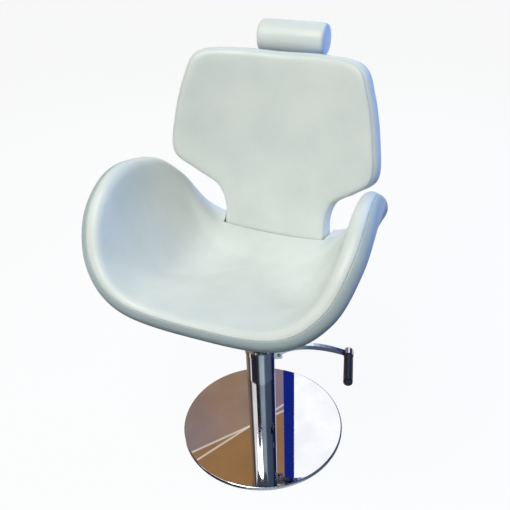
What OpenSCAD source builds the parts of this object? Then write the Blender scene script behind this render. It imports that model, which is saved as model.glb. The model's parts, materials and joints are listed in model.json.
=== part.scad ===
// Hydraulic barber chair: an upholstered tub seat whose wings are the arm rests, a shield-shaped
// back that reclines, a roll headrest, a round floor disc and a foot pump with a side pedal.
// Millimetres. The origin is on the floor under the column, -Y is the front and +Z is up.

/* [Floor disc] */
// Diameter of the floor disc
disc_d = 500; // [440:5:640]
// Thickness of the floor disc
disc_t = 10; // [9:0.5:16]
// Radius rolled onto the disc's upper edge
disc_edge_r = 4; // [1:0.5:6]
// Height that the rubber mat holds the disc off the floor
mat_stand = 2; // [1:0.5:3]
// Distance from the disc's edge to the rubber mat
mat_inset = 12; // [6:1:24]

/* [Column] */
// Height of the column's top above the floor
column_h = 332; // [322:1:350]
// Outer diameter of the column sleeve
sleeve_d = 84; // [84:0.5:92]
// Wall of the column sleeve
sleeve_wall = 2; // [1.5:0.25:2.5]
// Height of the collar that caps the sleeve
collar_h = 18; // [12:1:18]
// Wall of the collar outside the sleeve
collar_wall = 2; // [1.5:0.5:4]
// Thickness of the collar's top
collar_top_t = 4; // [3:0.5:6]
// Diameter of the black wiper in the collar
gland_d = 58; // [54:1:64]
// Height that the wiper stands above the collar
gland_stand = 5; // [3:1:12]

/* [Lift] */
// Diameter of the lift ram
ram_d = 45; // [40:0.5:46]
// Travel of the seat below the height drawn
lift_down = 120; // [60:5:130]
// Travel of the seat above the height drawn
lift_up = 60; // [40:5:80]
// Diameter of the swivel spigot on the ram
spigot_d = 38; // [30:1:39]
// Outer diameter of the seat hub
hub_d = 76; // [70:1:84]
// Height of the seat hub
hub_h = 64; // [50:1:80]

/* [Foot pump] */
// Direction of the pump lever, turned from +X towards the rear
lever_turn = 27; // [10:1:40]
// Distance from the column axis to the pedal boss
lever_reach = 264; // [230:2:300]
// Height of the pedal above the floor
pedal_z = 272; // [250:2:290]
// Width of the lever arm
arm_w = 14; // [12:0.5:15]
// Height of the lever arm beside the column
arm_root_h = 18; // [14:1:20]
// Height of the lever arm at the pedal boss
arm_tip_h = 12; // [8:1:14]
// Length of the pedal grip
grip_len = 112; // [90:2:140]
// Diameter of the pedal grip
grip_d = 27; // [22:1:32]
// Diameter of the chrome pedal boss
boss_d = 29; // [26:1:34]
// Diameter of the pin that the lever turns on
lever_pin_d = 8; // [6:0.5:9]

/* [Tub seat] */
// Width of the tub between the middles of its walls
tub_w = 644; // [600:2:680]
// Length of the tub between the middles of its front and rear walls
tub_len = 504; // [480:2:520]
// Distance from the column axis to the middle of the front wall
tub_front = 338; // [325:1:350]
// Thickness of the upholstered tub wall
tub_t = 50; // [44:1:54]
// Height of the middle of the seat wall at its lowest point
seat_z = 605; // [600:1:640]
// Rise of the wings above the seat's lowest point
wing_rise = 278; // [240:2:300]
// Extra thickness of the foam along the inner edge of the wings
wing_swell = 11; // [0:1:14]

/* [Back] */
// Widest width of the back
back_w = 542; // [500:2:560]
// Height of the back above the neck's seam
back_h = 477; // [440:1:520]
// Lean of the back from upright
back_lean = 5.8; // [4:0.1:8]
// Thickness of the back's foam at its edge
back_edge_t = 6; // [4:0.5:10]
// Extra crown of the back's foam at the middle
back_crown = 5; // [2:0.5:8]
// Depth from the back's seam to its rear face
back_rear_t = 32; // [28:1:36]

/* [Headrest] */
// Diameter of the headrest roll
roll_d = 88; // [76:2:96]
// Length of the headrest roll
roll_len = 190; // [160:2:220]
// Distance from the back's seam to the roll's axis
roll_back = 93; // [90:1:100]
// Height of the roll's axis above the top of the back
roll_up = 22; // [18:1:60]

/* [Recline] */
// Distance from the column axis back to the recline hinge
hinge_y = 198; // [196:1:204]
// Height of the recline hinge above the seat plate's top
hinge_rise = 16; // [13:0.5:18]
// Diameter of the hinge pins
hinge_pin_d = 12; // [10:0.5:13]
// Radius of the crank that the gas spring works on
crank_r = 42; // [38:1:46]
// Diameter of the gas spring's body
gas_d = 22; // [18:1:24]

/* [Hidden] */

// Smoothness of round parts
$fn = 96;
// Radial clearance of a shaft or a spigot in its hole
fit = 0.05;
// Gap between a soft part and its neighbour
soft_gap = 0.3;
// Overrun of a cutting shape past the face it cuts
over = 1;

// Floor disc
mat_r = disc_d / 2 - mat_inset;
mat_in = 1;
mat_t = mat_stand + mat_in;
disc_top_z = mat_stand + disc_t;
bolt_d = 8;
bolt_head_d = 13;
bolt_head_h = 5;
bolt_head_room = 0.5;
foot_bolt_count = 4;
foot_h = 16;

// Column
sleeve_r = sleeve_d / 2;
sleeve_bore_r = sleeve_r - sleeve_wall;
sleeve_top_z = column_h - collar_top_t;
collar_z = column_h - collar_h;
cylinder_wall = 3;
piston_lip = 1.5;
cylinder_bore_r = ram_d / 2 + piston_lip;
cylinder_r = cylinder_bore_r + cylinder_wall;
cylinder_floor_t = 8;
pump_head_h = 14;
cylinder_top_z = sleeve_top_z - pump_head_h;
annulus_r = (cylinder_r + sleeve_bore_r) / 2;

// Foot pump: r runs out from the column axis along the lever
pivot_out = 12;
pivot_drop = 34;
pivot_r = sleeve_r + pivot_out;
pivot_z = column_h - pivot_drop;
plunger_d = 9;
plunger_reach = 66;
plunger_neck = 8;
plunger_low_z = pivot_z - plunger_reach;
plunger_neck_z = pivot_z - plunger_neck;
tang_t = 4;
tang_up = 8;
toe_pin_d = 4;
toe_slot_h = 4.4;
toe_slot_l = 7;
fork_inset = 3.5;
fork_slot_w = 5;
fork_depth = 10;
block_drop = 23;
block_h = 50;
block_low_z = pivot_z - block_drop - block_h;
window_up = 15;
window_low = 15;
window_side = 1.5;
ear_t = 4;
ear_gap = 0.3;
ear_out = 10;
ear_half_h = 14;
pin_head_d = 11;
pin_head_t = 2;
arm_steps = 14;
arm_first_share = 0.19;
arm_second_share = 0.6;
arm_first_rise = 36;
arm_second_rise = 46;
grip_turn = -75;
boss_len = 20;
grip_bore_d = 14;
grip_end_r = 4;
grip_start = 10;
pedal_cap_d = 21;
pedal_cap_t = 3;

// Lift
seat_flat = 4;
plate_t = 6;
washer_t = 4;
washer_d = 60;
spigot_top_gap = 3;
ram_end_gap = 4;
piston_bore_d = 36;
plate_top_z = seat_z - tub_t / 2 + seat_flat;
plate_low_z = plate_top_z - plate_t;
hub_low_z = plate_low_z - hub_h;
ram_shoulder_z = hub_low_z - washer_t;
ram_low_z = disc_top_z + cylinder_floor_t + lift_down + ram_end_gap;
piston_h = cylinder_top_z - lift_up - ram_end_gap - ram_low_z;

// Seat frame
plate_w = 190;
plate_len = 170;
plate_y = -10;
rail_w = 25;
rail_h = 20;
rail_wall = 2;
rail_x = 90;
rail_front = -110;
rail_rear = 150;
seat_bolt_x = 66;
seat_bolt_y = 60;
seat_bolt_bite = 26;

// Tub seat: the rim is set out from the front centre, round the side, to the rear centre
tub_centre_share = 0.633;
tub_centre = [0, tub_len * tub_centre_share - tub_front, seat_z];
tub_side_curl = 4.5;
tub_end_curl = 1.16;
rim_x_shares = [0, 0.568, 0.863, 0.984, 0.991, 0.947, 0.892, 0.662, 0];
rim_y_shares = [0.018, 0, 0.063, 0.196, 0.409, 0.673, 0.869, 0.98, 1];
rim_z_shares = [0.162, 0.255, 0.486, 0.802, 1, 0.909, 0.62, 0.185, 0.029];
swell_from_share = 0.4;
tub_steps = 52;
seen_ring_shares = [0.16, 0.32, 0.48, 0.62, 0.75, 0.86, 0.94, 1];
hidden_ring_shares = [0.3, 0.55, 0.75, 0.9, 1];
edge_up_angles = [66, 44];
edge_down_angles = [0, -30, -60];
tub_seam_angle = 26;
seam_half_angle = 5;
tub_groove = 1.5;
pan_t = 8;
pan_gap = 0.5;
pan_edge_gap = 0.5;

// Back: u runs across, h up along the lean, and w forward from the seam
back_origin = [0, 147.6, 652.3];
back_hollow_r = 500;
neck_foot_shares = [0, 0.36, 0.72, 0.93];
outline_u_shares = [0.55, 0.542, 0.539, 0.613, 0.812, 1, 0.981, 0.893, 0.764, 0.406, 0];
outline_h_shares = [-0.08, 0, 0.119, 0.233, 0.323, 0.432, 0.627, 0.845, 0.981, 1, 0.992];
outline_span_steps = 3;
back_centre_share = 0.48;
board_t = 12;
board_ring_shares = [0.35, 0.7, 0.93];
front_ring_shares = [0.4, 0.7, 0.88, 0.955, 0.988];
front_rise_shares = [1, 1, 0.92, 0.7, 0.3];
side_bulge = 3;
side_full_share = 0.6;
lip_share = 0.996;
rear_round = 6;
rear_edge_share = 0.985;
rear_ring_shares = [0.955, 0.8, 0.45];
neck_gap = 2;
neck_cut_rear = 130;
neck_cut_low = 140;
neck_cut_high = 100;
neck_cut_steps = 5;

// Back frame
bracket_t = 5;
bracket_x = 96.5;
eye_r = 18;
hinge_plate_t = 6;
hinge_plate_x = rail_x + rail_w / 2;
hinge_side_gap = 1;
bush_wall = 2;
flange_w = 34;
flange_t = 4;
flange_top = 150;
flange_low = -28;
web_turn = 24;
web_top_share = 0.3;
web_mid_share = 0.6;
screw_d = 6;
screw_head_d = 11;
screw_head_h = 3;
screw_bite = 28;
screw_from_web = 10.5;
screw_places = [40, 125];
cross_d = 25;
cross_wall = 2.5;

// Gas spring and its crank
gas_x = 57;
gas_front_y = -35;
gas_neck_gap = 3;
crank_back_turn = 10;
crank_t = 4;
crank_gap = 1;
gas_eye_w = 10;
gas_eye_d = 20;
gas_pin_d = 8;
gas_open_gap = 1.6;
gas_body_rear = 100;
gas_wall = 2;
gas_rod_d = 10;
gas_piston_t = 8;
gas_piston_y = 50;
gas_end_t = 8;
anchor_t = 4;
anchor_w = 22;
hinge_z = plate_top_z + hinge_rise;
crank_pin_y = hinge_y + crank_r * sin(crank_back_turn);
crank_pin_z = hinge_z - crank_r * cos(crank_back_turn);

// Recline release
release_d = 10;
release_y = -86;
release_drop = 14;
release_in_x = 47;
release_out_x = 188;
release_bearing_w = 10;
release_bearing_d = 18;
cam_len = 16;
cam_w = 8;
handle_w = 18;
handle_t = 5;
handle_len = 60;
knob_d = 20;
knob_len = 42;

// Headrest
bar_w = 30;
bar_t = 6;
bar_back = 9;
bar_low = 205;
bar_bend_low = 50;
bar_bend_high = 22;
guide_w = 54;
guide_low = 160;
guide_high = 70;
guide_rear = 5;
guide_screw_x = 22;
guide_screw_inset = 12;
core_d = 40;
core_len = 150;
roll_edge_r = 9;
roll_crown = 1.5;
roll_end_dome = 3;

// Catmull-Rom curve between b and c
function blend4(a, b, c, d, t) =
    b + t * (c - a) / 2 + t * t * (a - 2.5 * b + 2 * c - d / 2) + t * t * t * (1.5 * (b - c) + (d - a) / 2);

// Value of a share table at place s; sign is -1 where the curve mirrors to the other side at its ends
function share_at(table, s, sign) =
    let (n = len(table) - 1, i = min(floor(s), n - 1))
    let (a = i == 0 ? sign * table[1] : table[i - 1], d = i == n - 1 ? sign * table[n - 1] : table[i + 2])
    blend4(a, table[i], table[i + 1], d, s - i);

function unit(v) = v / norm(v);

// Closed skin round rings of equal length, from a first pole to a last pole. The faces are split one way
// up to the ring where the rings turn back, and the other way after it, so nested skins match.
module closed_skin(first, rings, last, turn) {
    n = len(rings[0]);
    m = len(rings);
    points = concat([first], [for (ring = rings) for (p = ring) p], [last]);
    faces = concat(
        [for (i = [0 : n - 1]) [0, 1 + (i + 1) % n, 1 + i]],
        [for (k = [0 : m - 2]) for (i = [0 : n - 1]) for (half = [0, 1])
            let (a = 1 + k * n + i, b = 1 + k * n + (i + 1) % n)
            k < turn ? (half == 0 ? [a, b, b + n] : [a, b + n, a + n])
                : (half == 0 ? [a, b, a + n] : [b, b + n, a + n])],
        [for (i = [0 : n - 1]) [1 + (m - 1) * n + i, 1 + (m - 1) * n + (i + 1) % n, 1 + m * n]]);
    polyhedron(points, faces, convexity = 8);
}

// Straight cylinder lying along X, centred on [x, y, z]
module x_rod(at, d, l) {
    translate(at) rotate([0, 90, 0]) cylinder(d = d, h = l, center = true);
}

// Children turned to the pump lever's direction, with X running out along the lever
module along_lever() {
    rotate([0, 0, lever_turn]) children();
}

// Cylinder lying across the lever at radius r and height z
module lever_cross(r, z, d, l) {
    translate([r, 0, z]) rotate([90, 0, 0]) cylinder(d = d, h = l, center = true);
}

module floor_mat() {
    color("#22242a")
    cylinder(r = mat_r, h = mat_t);
}

module base_disc() {
    color("#d8dce0")
    difference() {
        rotate_extrude() difference() {
            translate([0, mat_stand]) square([disc_d / 2, disc_t]);
            translate([disc_d / 2 - disc_edge_r, disc_top_z - disc_edge_r]) difference() {
                square(disc_edge_r + over);
                circle(r = disc_edge_r);
            }
        }
        cylinder(r = mat_r + fit, h = mat_t);
        foot_bolt_places() {
            cylinder(d = bolt_d + 2 * fit, h = disc_top_z + over);
            cylinder(d = bolt_head_d + 2 * bolt_head_room, h = mat_t + bolt_head_h);
        }
    }
}

module foot_bolt_places() {
    for (i = [0 : foot_bolt_count - 1]) {
        rotate([0, 0, (i + 0.5) * 360 / foot_bolt_count]) translate([annulus_r, 0, 0]) children();
    }
}

module foot_bolts() {
    color("#8c9096")
    foot_bolt_places() translate([0, 0, mat_t]) {
        cylinder(d = bolt_head_d, h = bolt_head_h);
        cylinder(d = bolt_d, h = disc_top_z + foot_h - mat_t);
    }
}

module column_foot() {
    color("#8c9096")
    translate([0, 0, disc_top_z]) difference() {
        cylinder(r = sleeve_bore_r - fit, h = foot_h);
        translate([0, 0, -over]) cylinder(r = cylinder_r + fit, h = foot_h + 2 * over);
        foot_bolt_places() translate([0, 0, -over]) cylinder(d = bolt_d + 2 * fit, h = foot_h + 2 * over);
    }
}

module column_sleeve() {
    window_w = arm_w + 2 * window_side;
    color("#d8dce0")
    difference() {
        translate([0, 0, disc_top_z]) cylinder(r = sleeve_r, h = sleeve_top_z - disc_top_z);
        cylinder(r = sleeve_bore_r, h = column_h);
        along_lever()
        translate([sleeve_bore_r / 2, -window_w / 2, pivot_z - window_low])
        cube([sleeve_r, window_w, window_low + window_up]);
    }
}

module column_collar() {
    color("#d8dce0")
    rotate_extrude() {
        translate([sleeve_r + fit, collar_z]) square([collar_wall, collar_h]);
        translate([gland_d / 2 + fit, sleeve_top_z])
        square([sleeve_r + collar_wall - gland_d / 2, collar_top_t]);
    }
}

module gland_wiper() {
    color("#17181b")
    translate([0, 0, sleeve_top_z]) difference() {
        cylinder(d = gland_d, h = collar_top_t + gland_stand);
        translate([0, 0, -over]) cylinder(d = ram_d + 2 * fit, h = column_h);
    }
}

module pump_head() {
    color("#8c9096")
    translate([0, 0, cylinder_top_z]) difference() {
        cylinder(r = sleeve_bore_r - fit, h = pump_head_h);
        translate([0, 0, -over]) cylinder(d = ram_d + 2 * fit, h = pump_head_h + 2 * over);
    }
}

module pump_cylinder() {
    color("#8c9096")
    difference() {
        translate([0, 0, disc_top_z]) cylinder(r = cylinder_r, h = cylinder_top_z - disc_top_z);
        translate([0, 0, disc_top_z + cylinder_floor_t]) cylinder(r = cylinder_bore_r, h = column_h);
    }
}

module pump_block() {
    color("#5d6167")
    difference() {
        translate([0, 0, block_low_z]) cylinder(r = sleeve_bore_r - fit, h = block_h);
        cylinder(r = cylinder_r + fit, h = column_h);
        along_lever()
        translate([annulus_r, 0, plunger_low_z - over]) cylinder(d = plunger_d + 2 * fit, h = column_h);
    }
}

module lever_bracket() {
    ear_y = arm_w / 2 + ear_gap;
    color("#d8dce0")
    along_lever() difference() {
        for (side = [-1, 1]) {
            translate([0, side * (ear_y + ear_t / 2), pivot_z]) rotate([90, 0, 0])
            linear_extrude(ear_t, center = true)
            translate([0, -ear_half_h]) square([pivot_r + ear_out, 2 * ear_half_h]);
        }
        translate([0, 0, -over]) cylinder(r = sleeve_r + fit, h = column_h);
        lever_cross(pivot_r, pivot_z, lever_pin_d + 2 * fit, 2 * sleeve_r);
    }
}

module lever_pin() {
    shank = arm_w + 2 * ear_gap + 2 * ear_t;
    color("#8c9096")
    along_lever() {
        lever_cross(pivot_r, pivot_z, lever_pin_d, shank);
        for (side = [-1, 1]) {
            translate([0, side * (shank + pin_head_t) / 2, 0])
            lever_cross(pivot_r, pivot_z, pin_head_d, pin_head_t);
        }
    }
}

module pump_plunger() {
    tang_low = plunger_neck_z - over;
    color("#8c9096")
    along_lever() translate([annulus_r, 0, 0]) difference() {
        union() {
            translate([0, 0, plunger_low_z]) cylinder(d = plunger_d, h = plunger_neck_z - plunger_low_z);
            intersection() {
                translate([0, 0, tang_low]) cylinder(d = plunger_d, h = pivot_z + tang_up - tang_low);
                translate([-plunger_d, -tang_t / 2, tang_low]) cube([2 * plunger_d, tang_t, column_h]);
            }
        }
        translate([0, 0, pivot_z]) rotate([90, 0, 0]) linear_extrude(plunger_d, center = true) {
            square([toe_slot_l - toe_slot_h, toe_slot_h], center = true);
            for (side = [-1, 1]) {
                translate([side * (toe_slot_l - toe_slot_h) / 2, 0]) circle(d = toe_slot_h);
            }
        }
    }
}

// Middle line of the lever arm from the pivot to the pedal boss, as [r, z]
function arm_line(t) =
    let (s = 1 - t, run = lever_reach - pivot_r)
    s * s * s * [pivot_r, pivot_z]
    + 3 * s * s * t * [pivot_r + run * arm_first_share, pivot_z + arm_first_rise]
    + 3 * s * t * t * [pivot_r + run * arm_second_share, pedal_z + arm_second_rise]
    + t * t * t * [lever_reach, pedal_z];
function arm_half(t) = (arm_root_h + (arm_tip_h - arm_root_h) * t) / 2;

module pump_lever_arm() {
    toe_r = annulus_r - toe_pin_d;
    upper = [for (k = [0 : arm_steps]) arm_line(k / arm_steps) + [0, arm_half(k / arm_steps)]];
    lower = [for (k = [arm_steps : -1 : 0]) arm_line(k / arm_steps) - [0, arm_half(k / arm_steps)]];
    toe_half = toe_pin_d / 2 + fork_inset;
    color("#d8dce0")
    along_lever() difference() {
        union() {
            rotate([90, 0, 0]) linear_extrude(arm_w, center = true) polygon(concat(upper, lower));
            translate([toe_r, -arm_w / 2, pivot_z - toe_half]) cube([pivot_r - toe_r, arm_w, 2 * toe_half]);
            lever_cross(pivot_r, pivot_z, arm_root_h, arm_w);
        }
        translate([0, -fork_slot_w / 2, pivot_z - arm_root_h])
        cube([annulus_r + fork_depth, fork_slot_w, 2 * arm_root_h]);
        lever_cross(pivot_r, pivot_z, lever_pin_d + 2 * fit, 2 * sleeve_r);
        lever_cross(annulus_r, pivot_z, toe_pin_d + 2 * fit, 2 * sleeve_r);
        translate([lever_reach, 0, pedal_z]) rotate([0, 90, grip_turn - lever_turn])
        cylinder(d = boss_d + 2 * soft_gap, h = boss_len + 2 * over, center = true);
    }
}

module toe_pin() {
    color("#8c9096")
    along_lever() lever_cross(annulus_r, pivot_z, toe_pin_d, arm_w);
}

// Children placed at the pedal boss with X running out along the grip
module along_grip() {
    along_lever() translate([lever_reach, 0, pedal_z]) rotate([0, 0, grip_turn - lever_turn]) children();
}

module pedal_boss() {
    color("#d8dce0")
    along_grip() difference() {
        union() {
            rotate([0, 90, 0]) cylinder(d = boss_d, h = boss_len, center = true);
            translate([-boss_len / 2, 0, 0]) sphere(d = boss_d);
        }
        rotate([0, 90, 0]) cylinder(d = grip_bore_d + 2 * fit, h = boss_len);
    }
}

module pedal_rod() {
    color("#8c9096")
    along_grip() rotate([0, 90, 0]) cylinder(d = grip_bore_d, h = grip_start + grip_len - pedal_cap_t);
}

module pedal_grip() {
    color("#17181b")
    along_grip() rotate([0, 90, 0]) rotate_extrude() difference() {
        translate([grip_bore_d / 2 + fit, grip_start]) square([(grip_d - grip_bore_d) / 2 - fit, grip_len]);
        translate([grip_d / 2 - grip_end_r, grip_start + grip_len - grip_end_r]) difference() {
            square(grip_end_r + over);
            circle(r = grip_end_r);
        }
        translate([0, grip_start + grip_len - pedal_cap_t])
        square([pedal_cap_d / 2 + fit, pedal_cap_t + over]);
    }
}

module pedal_cap() {
    color("#3a3d44")
    along_grip() translate([grip_start + grip_len - pedal_cap_t, 0, 0]) rotate([0, 90, 0])
    cylinder(d = pedal_cap_d, h = pedal_cap_t);
}

module lift_ram() {
    color("#b9bec4")
    union() {
        translate([0, 0, ram_low_z]) cylinder(d = piston_bore_d, h = piston_h + over);
        translate([0, 0, ram_low_z + piston_h])
        cylinder(d = ram_d, h = ram_shoulder_z - ram_low_z - piston_h);
        translate([0, 0, ram_shoulder_z - over])
        cylinder(d = spigot_d, h = over + washer_t + hub_h - spigot_top_gap);
    }
}

module ram_piston() {
    color("#e6e2d4")
    translate([0, 0, ram_low_z]) difference() {
        cylinder(r = cylinder_bore_r - fit, h = piston_h);
        translate([0, 0, -over]) cylinder(d = piston_bore_d + 2 * fit, h = piston_h + 2 * over);
    }
}

module swivel_washer() {
    color("#e6e2d4")
    translate([0, 0, ram_shoulder_z]) difference() {
        cylinder(d = washer_d, h = washer_t);
        translate([0, 0, -over]) cylinder(d = spigot_d + 2 * fit, h = washer_t + 2 * over);
    }
}

module seat_hub() {
    color("#2b2d31")
    translate([0, 0, hub_low_z]) difference() {
        cylinder(d = hub_d, h = hub_h);
        translate([0, 0, -over]) cylinder(d = spigot_d + 2 * fit, h = hub_h + 2 * over);
    }
}

module seat_bolt_places() {
    for (x = [-seat_bolt_x, seat_bolt_x]) {
        for (y = [-seat_bolt_y, seat_bolt_y]) {
            translate([x, plate_y + y, 0]) children();
        }
    }
}

module seat_plate() {
    color("#2b2d31")
    difference() {
        translate([-plate_w / 2, plate_y - plate_len / 2, plate_low_z]) cube([plate_w, plate_len, plate_t]);
        seat_bolt_places() cylinder(d = bolt_d + 2 * fit, h = 2 * plate_top_z);
    }
}

module seat_bolts() {
    color("#8c9096")
    seat_bolt_places() {
        translate([0, 0, plate_low_z - bolt_head_h]) cylinder(d = bolt_head_d, h = bolt_head_h);
        translate([0, 0, plate_low_z - bolt_head_h])
        cylinder(d = bolt_d, h = bolt_head_h + plate_t + seat_bolt_bite);
    }
}

module seat_rails() {
    rail_len = rail_rear - rail_front;
    color("#2b2d31")
    for (side = [-1, 1]) {
        translate([side * rail_x, rail_front, plate_low_z - rail_h]) difference() {
            translate([-rail_w / 2, 0, 0]) cube([rail_w, rail_len, rail_h]);
            translate([rail_wall - rail_w / 2, -over, rail_wall])
            cube([rail_w - 2 * rail_wall, rail_len + 2 * over, rail_h - 2 * rail_wall]);
        }
    }
}

// Middle of the tub's rim at place i round it, the left half mirrored from the right
function rim_point(i) =
    let (turn = (i + tub_steps) % tub_steps * 360 / tub_steps, left = turn > 180)
    let (s = (left ? 360 - turn : turn) / 180 * (len(rim_x_shares) - 1))
    [(left ? -1 : 1) * tub_w / 2 * share_at(rim_x_shares, s, -1),
     tub_len * share_at(rim_y_shares, s, 1) - tub_front,
     seat_z + wing_rise * share_at(rim_z_shares, s, 1)];
tub_rim = [for (i = [0 : tub_steps - 1]) rim_point(i)];
function tub_reach(i) = tub_rim[(i + tub_steps) % tub_steps] - tub_centre;
function tub_curl(i) = tub_end_curl + (tub_side_curl - tub_end_curl) * pow(sin(i * 360 / tub_steps), 2);

// Middle surface of the tub wall, and its inward normal, at place i and share a of the way to the rim
function tub_mid(i, a) =
    let (reach = tub_reach(i))
    tub_centre + [reach.x * a, reach.y * a, reach.z * pow(a, tub_curl(i))];
function tub_outward(i, a) =
    let (reach = tub_reach(i), curl = tub_curl(i))
    unit([reach.x, reach.y, reach.z * curl * pow(a, curl - 1)]);
function tub_normal(i, a) = unit(cross(tub_outward(i, a), tub_mid(i + 1, a) - tub_mid(i - 1, a)));
function tub_skin(i, a, off) = tub_mid(i, a) + off * tub_normal(i, a);

// Point at an angle round the rim's rounded edge, from the outward direction towards the sitter
function rim_edge(i, angle, r) =
    tub_rim[i] + r * (sin(angle) * tub_normal(i, 1) + cos(angle) * tub_outward(i, 1));
function tub_ring(a, off) = [for (i = [0 : tub_steps - 1]) tub_skin(i, a, off)];
function edge_ring(angle, r) = [for (i = [0 : tub_steps - 1]) rim_edge(i, angle, r)];
function lip_ring(out, off) = [for (i = [0 : tub_steps - 1])
    tub_rim[i] + out * tub_outward(i, 1) + off * tub_normal(i, 1)];

// Rings of the seen foam, which swells on the wings towards the rim and draws in again at the seam
function swell(i) = wing_swell * pow(sin(i * 360 / tub_steps), 2);
function swell_growth(a) =
    let (t = max(a - swell_from_share, 0) / (1 - swell_from_share)) t * t * (3 - 2 * t);
function swell_lift(angle) = sin((angle - tub_seam_angle) / (90 - tub_seam_angle) * 90);
function pad_ring(a) = [for (i = [0 : tub_steps - 1])
    tub_skin(i, a, tub_t / 2 + swell(i) * swell_growth(a))];
function pad_edge(angle, r) = [for (i = [0 : tub_steps - 1])
    rim_edge(i, angle, r + swell(i) * swell_lift(angle))];
function backwards(list) = [for (i = [len(list) - 1 : -1 : 0]) list[i]];
function flat_seat(ring) = [for (p = ring) [p.x, p.y, max(p.z, plate_top_z)]];

// Notch in the tub's rear that the neck of the back plugs into
module neck_notch() {
    half = neck_half() + neck_gap;
    face = back_edge_t + back_crown + neck_gap;
    side = half + side_bulge;
    flare = back_rear_t * side / back_hollow_r;
    across = [for (step = [-neck_cut_steps : neck_cut_steps])
        let (u = half * step / neck_cut_steps) [u, -hollow(u) - face]];
    back_frame() translate([0, 0, -neck_cut_low]) linear_extrude(neck_cut_low + neck_cut_high)
    polygon(concat(across, [
        [side, -hollow(side)], [side + flare, back_rear_t - hollow(side)],
        [side + flare, neck_cut_rear], [-side - flare, neck_cut_rear],
        [-side - flare, back_rear_t - hollow(side)], [-side, -hollow(side)]]));
}

module tub_pad() {
    half = tub_t / 2;
    low = pan_t / 2 + pan_gap;
    rings = concat(
        [for (a = seen_ring_shares) pad_ring(a)],
        [for (angle = edge_up_angles) pad_edge(angle, half)],
        [pad_edge(tub_seam_angle + seam_half_angle, half - tub_groove / 3)],
        [edge_ring(tub_seam_angle, half - tub_groove)],
        [for (a = backwards(hidden_ring_shares)) tub_ring(a, low)]);
    color("#e4e8e6")
    difference() {
        closed_skin(tub_centre + [0, 0, half], rings, tub_centre + [0, 0, low],
            len(rings) - len(hidden_ring_shares) - 1);
        neck_notch();
    }
}

module tub_pan() {
    rings = concat(
        [for (a = hidden_ring_shares) tub_ring(a, pan_t / 2)],
        [for (a = backwards(hidden_ring_shares)) tub_ring(a, -pan_t / 2)]);
    color("#c9a877")
    difference() {
        closed_skin(tub_centre + [0, 0, pan_t / 2], rings, tub_centre - [0, 0, pan_t / 2],
            len(hidden_ring_shares) - 1);
        neck_notch();
    }
}

module tub_cover() {
    half = tub_t / 2;
    low = pan_t / 2 + pan_gap;
    below_seam = tub_seam_angle - 1;
    rings = concat(
        [for (a = hidden_ring_shares) tub_ring(a, -low)],
        [lip_ring(pan_edge_gap, -low), lip_ring(pan_edge_gap, low - 2 * soft_gap)],
        [edge_ring(below_seam, half - tub_groove)],
        [edge_ring(below_seam - seam_half_angle, half - tub_groove / 3)],
        [for (angle = edge_down_angles) flat_seat(edge_ring(angle, half))],
        [for (a = backwards(seen_ring_shares)) flat_seat(tub_ring(a, -half))]);
    color("#dfe4e3")
    difference() {
        closed_skin(tub_centre - [0, 0, low], rings, [tub_centre.x, tub_centre.y, plate_top_z],
            len(rings) - len(seen_ring_shares));
        neck_notch();
    }
}

module hinge_plates() {
    rail_z = plate_low_z - rail_h;
    side_profile = [
        [plate_y, rail_z], [rail_rear, rail_z], [hinge_y + eye_r / 2, hinge_z - eye_r],
        [hinge_y, hinge_z], [hinge_y - eye_r, hinge_z], [rail_rear, plate_low_z], [plate_y, plate_low_z]];
    color("#2b2d31")
    for (side = [-1, 1]) {
        translate([side * (hinge_plate_x + hinge_plate_t / 2), 0, 0])
        rotate([90, 0, 90]) linear_extrude(hinge_plate_t, center = true) difference() {
            union() {
                polygon(side_profile);
                translate([hinge_y, hinge_z]) circle(r = eye_r);
            }
            translate([hinge_y, hinge_z]) circle(d = hinge_pin_d + 2 * fit);
        }
    }
}

module hinge_pins() {
    in_x = bracket_x - hinge_side_gap;
    out_x = hinge_plate_x + hinge_plate_t;
    color("#b9bec4")
    for (side = [-1, 1]) {
        x_rod([side * (in_x + out_x) / 2, hinge_y, hinge_z], hinge_pin_d, out_x - in_x);
        x_rod([side * (out_x + pin_head_t / 2), hinge_y, hinge_z],
            hinge_pin_d + 2 * bolt_head_h, pin_head_t);
    }
}

module gas_anchor() {
    gap = gas_eye_w + 2 * crank_gap;
    color("#2b2d31")
    for (side = [-1, 1]) {
        translate([gas_x + side * (gap + anchor_t) / 2, gas_front_y, 0])
        rotate([90, 0, 90]) linear_extrude(anchor_t, center = true) difference() {
            union() {
                translate([-anchor_w / 2, crank_pin_z]) square([anchor_w, plate_low_z - crank_pin_z]);
                translate([0, crank_pin_z]) circle(d = anchor_w);
            }
            translate([0, crank_pin_z]) circle(d = gas_pin_d + 2 * fit);
        }
    }
}

module gas_front_pin() {
    color("#8c9096")
    x_rod([gas_x, gas_front_y, crank_pin_z], gas_pin_d, gas_eye_w + 2 * crank_gap + 2 * anchor_t);
}

module gas_cylinder() {
    body_y = gas_front_y + anchor_w / 2 + gas_neck_gap;
    body_len = gas_body_rear - body_y;
    color("#17181b")
    difference() {
        union() {
            translate([gas_x, body_y, crank_pin_z]) rotate([-90, 0, 0]) cylinder(d = gas_d, h = body_len);
            translate([gas_x, gas_front_y + gas_pin_d, crank_pin_z]) rotate([-90, 0, 0])
            cylinder(d = gas_rod_d - over, h = body_y - gas_front_y);
            x_rod([gas_x, gas_front_y, crank_pin_z], gas_eye_d, gas_eye_w);
        }
        translate([gas_x, body_y + gas_end_t, crank_pin_z]) rotate([-90, 0, 0])
        cylinder(d = gas_d - 2 * gas_wall, h = body_len - 2 * gas_end_t);
        translate([gas_x, body_y + gas_end_t, crank_pin_z]) rotate([-90, 0, 0])
        cylinder(d = gas_rod_d + 2 * fit, h = body_len);
        x_rod([gas_x, gas_front_y, crank_pin_z], gas_pin_d + 2 * fit, gas_d);
    }
}

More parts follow.
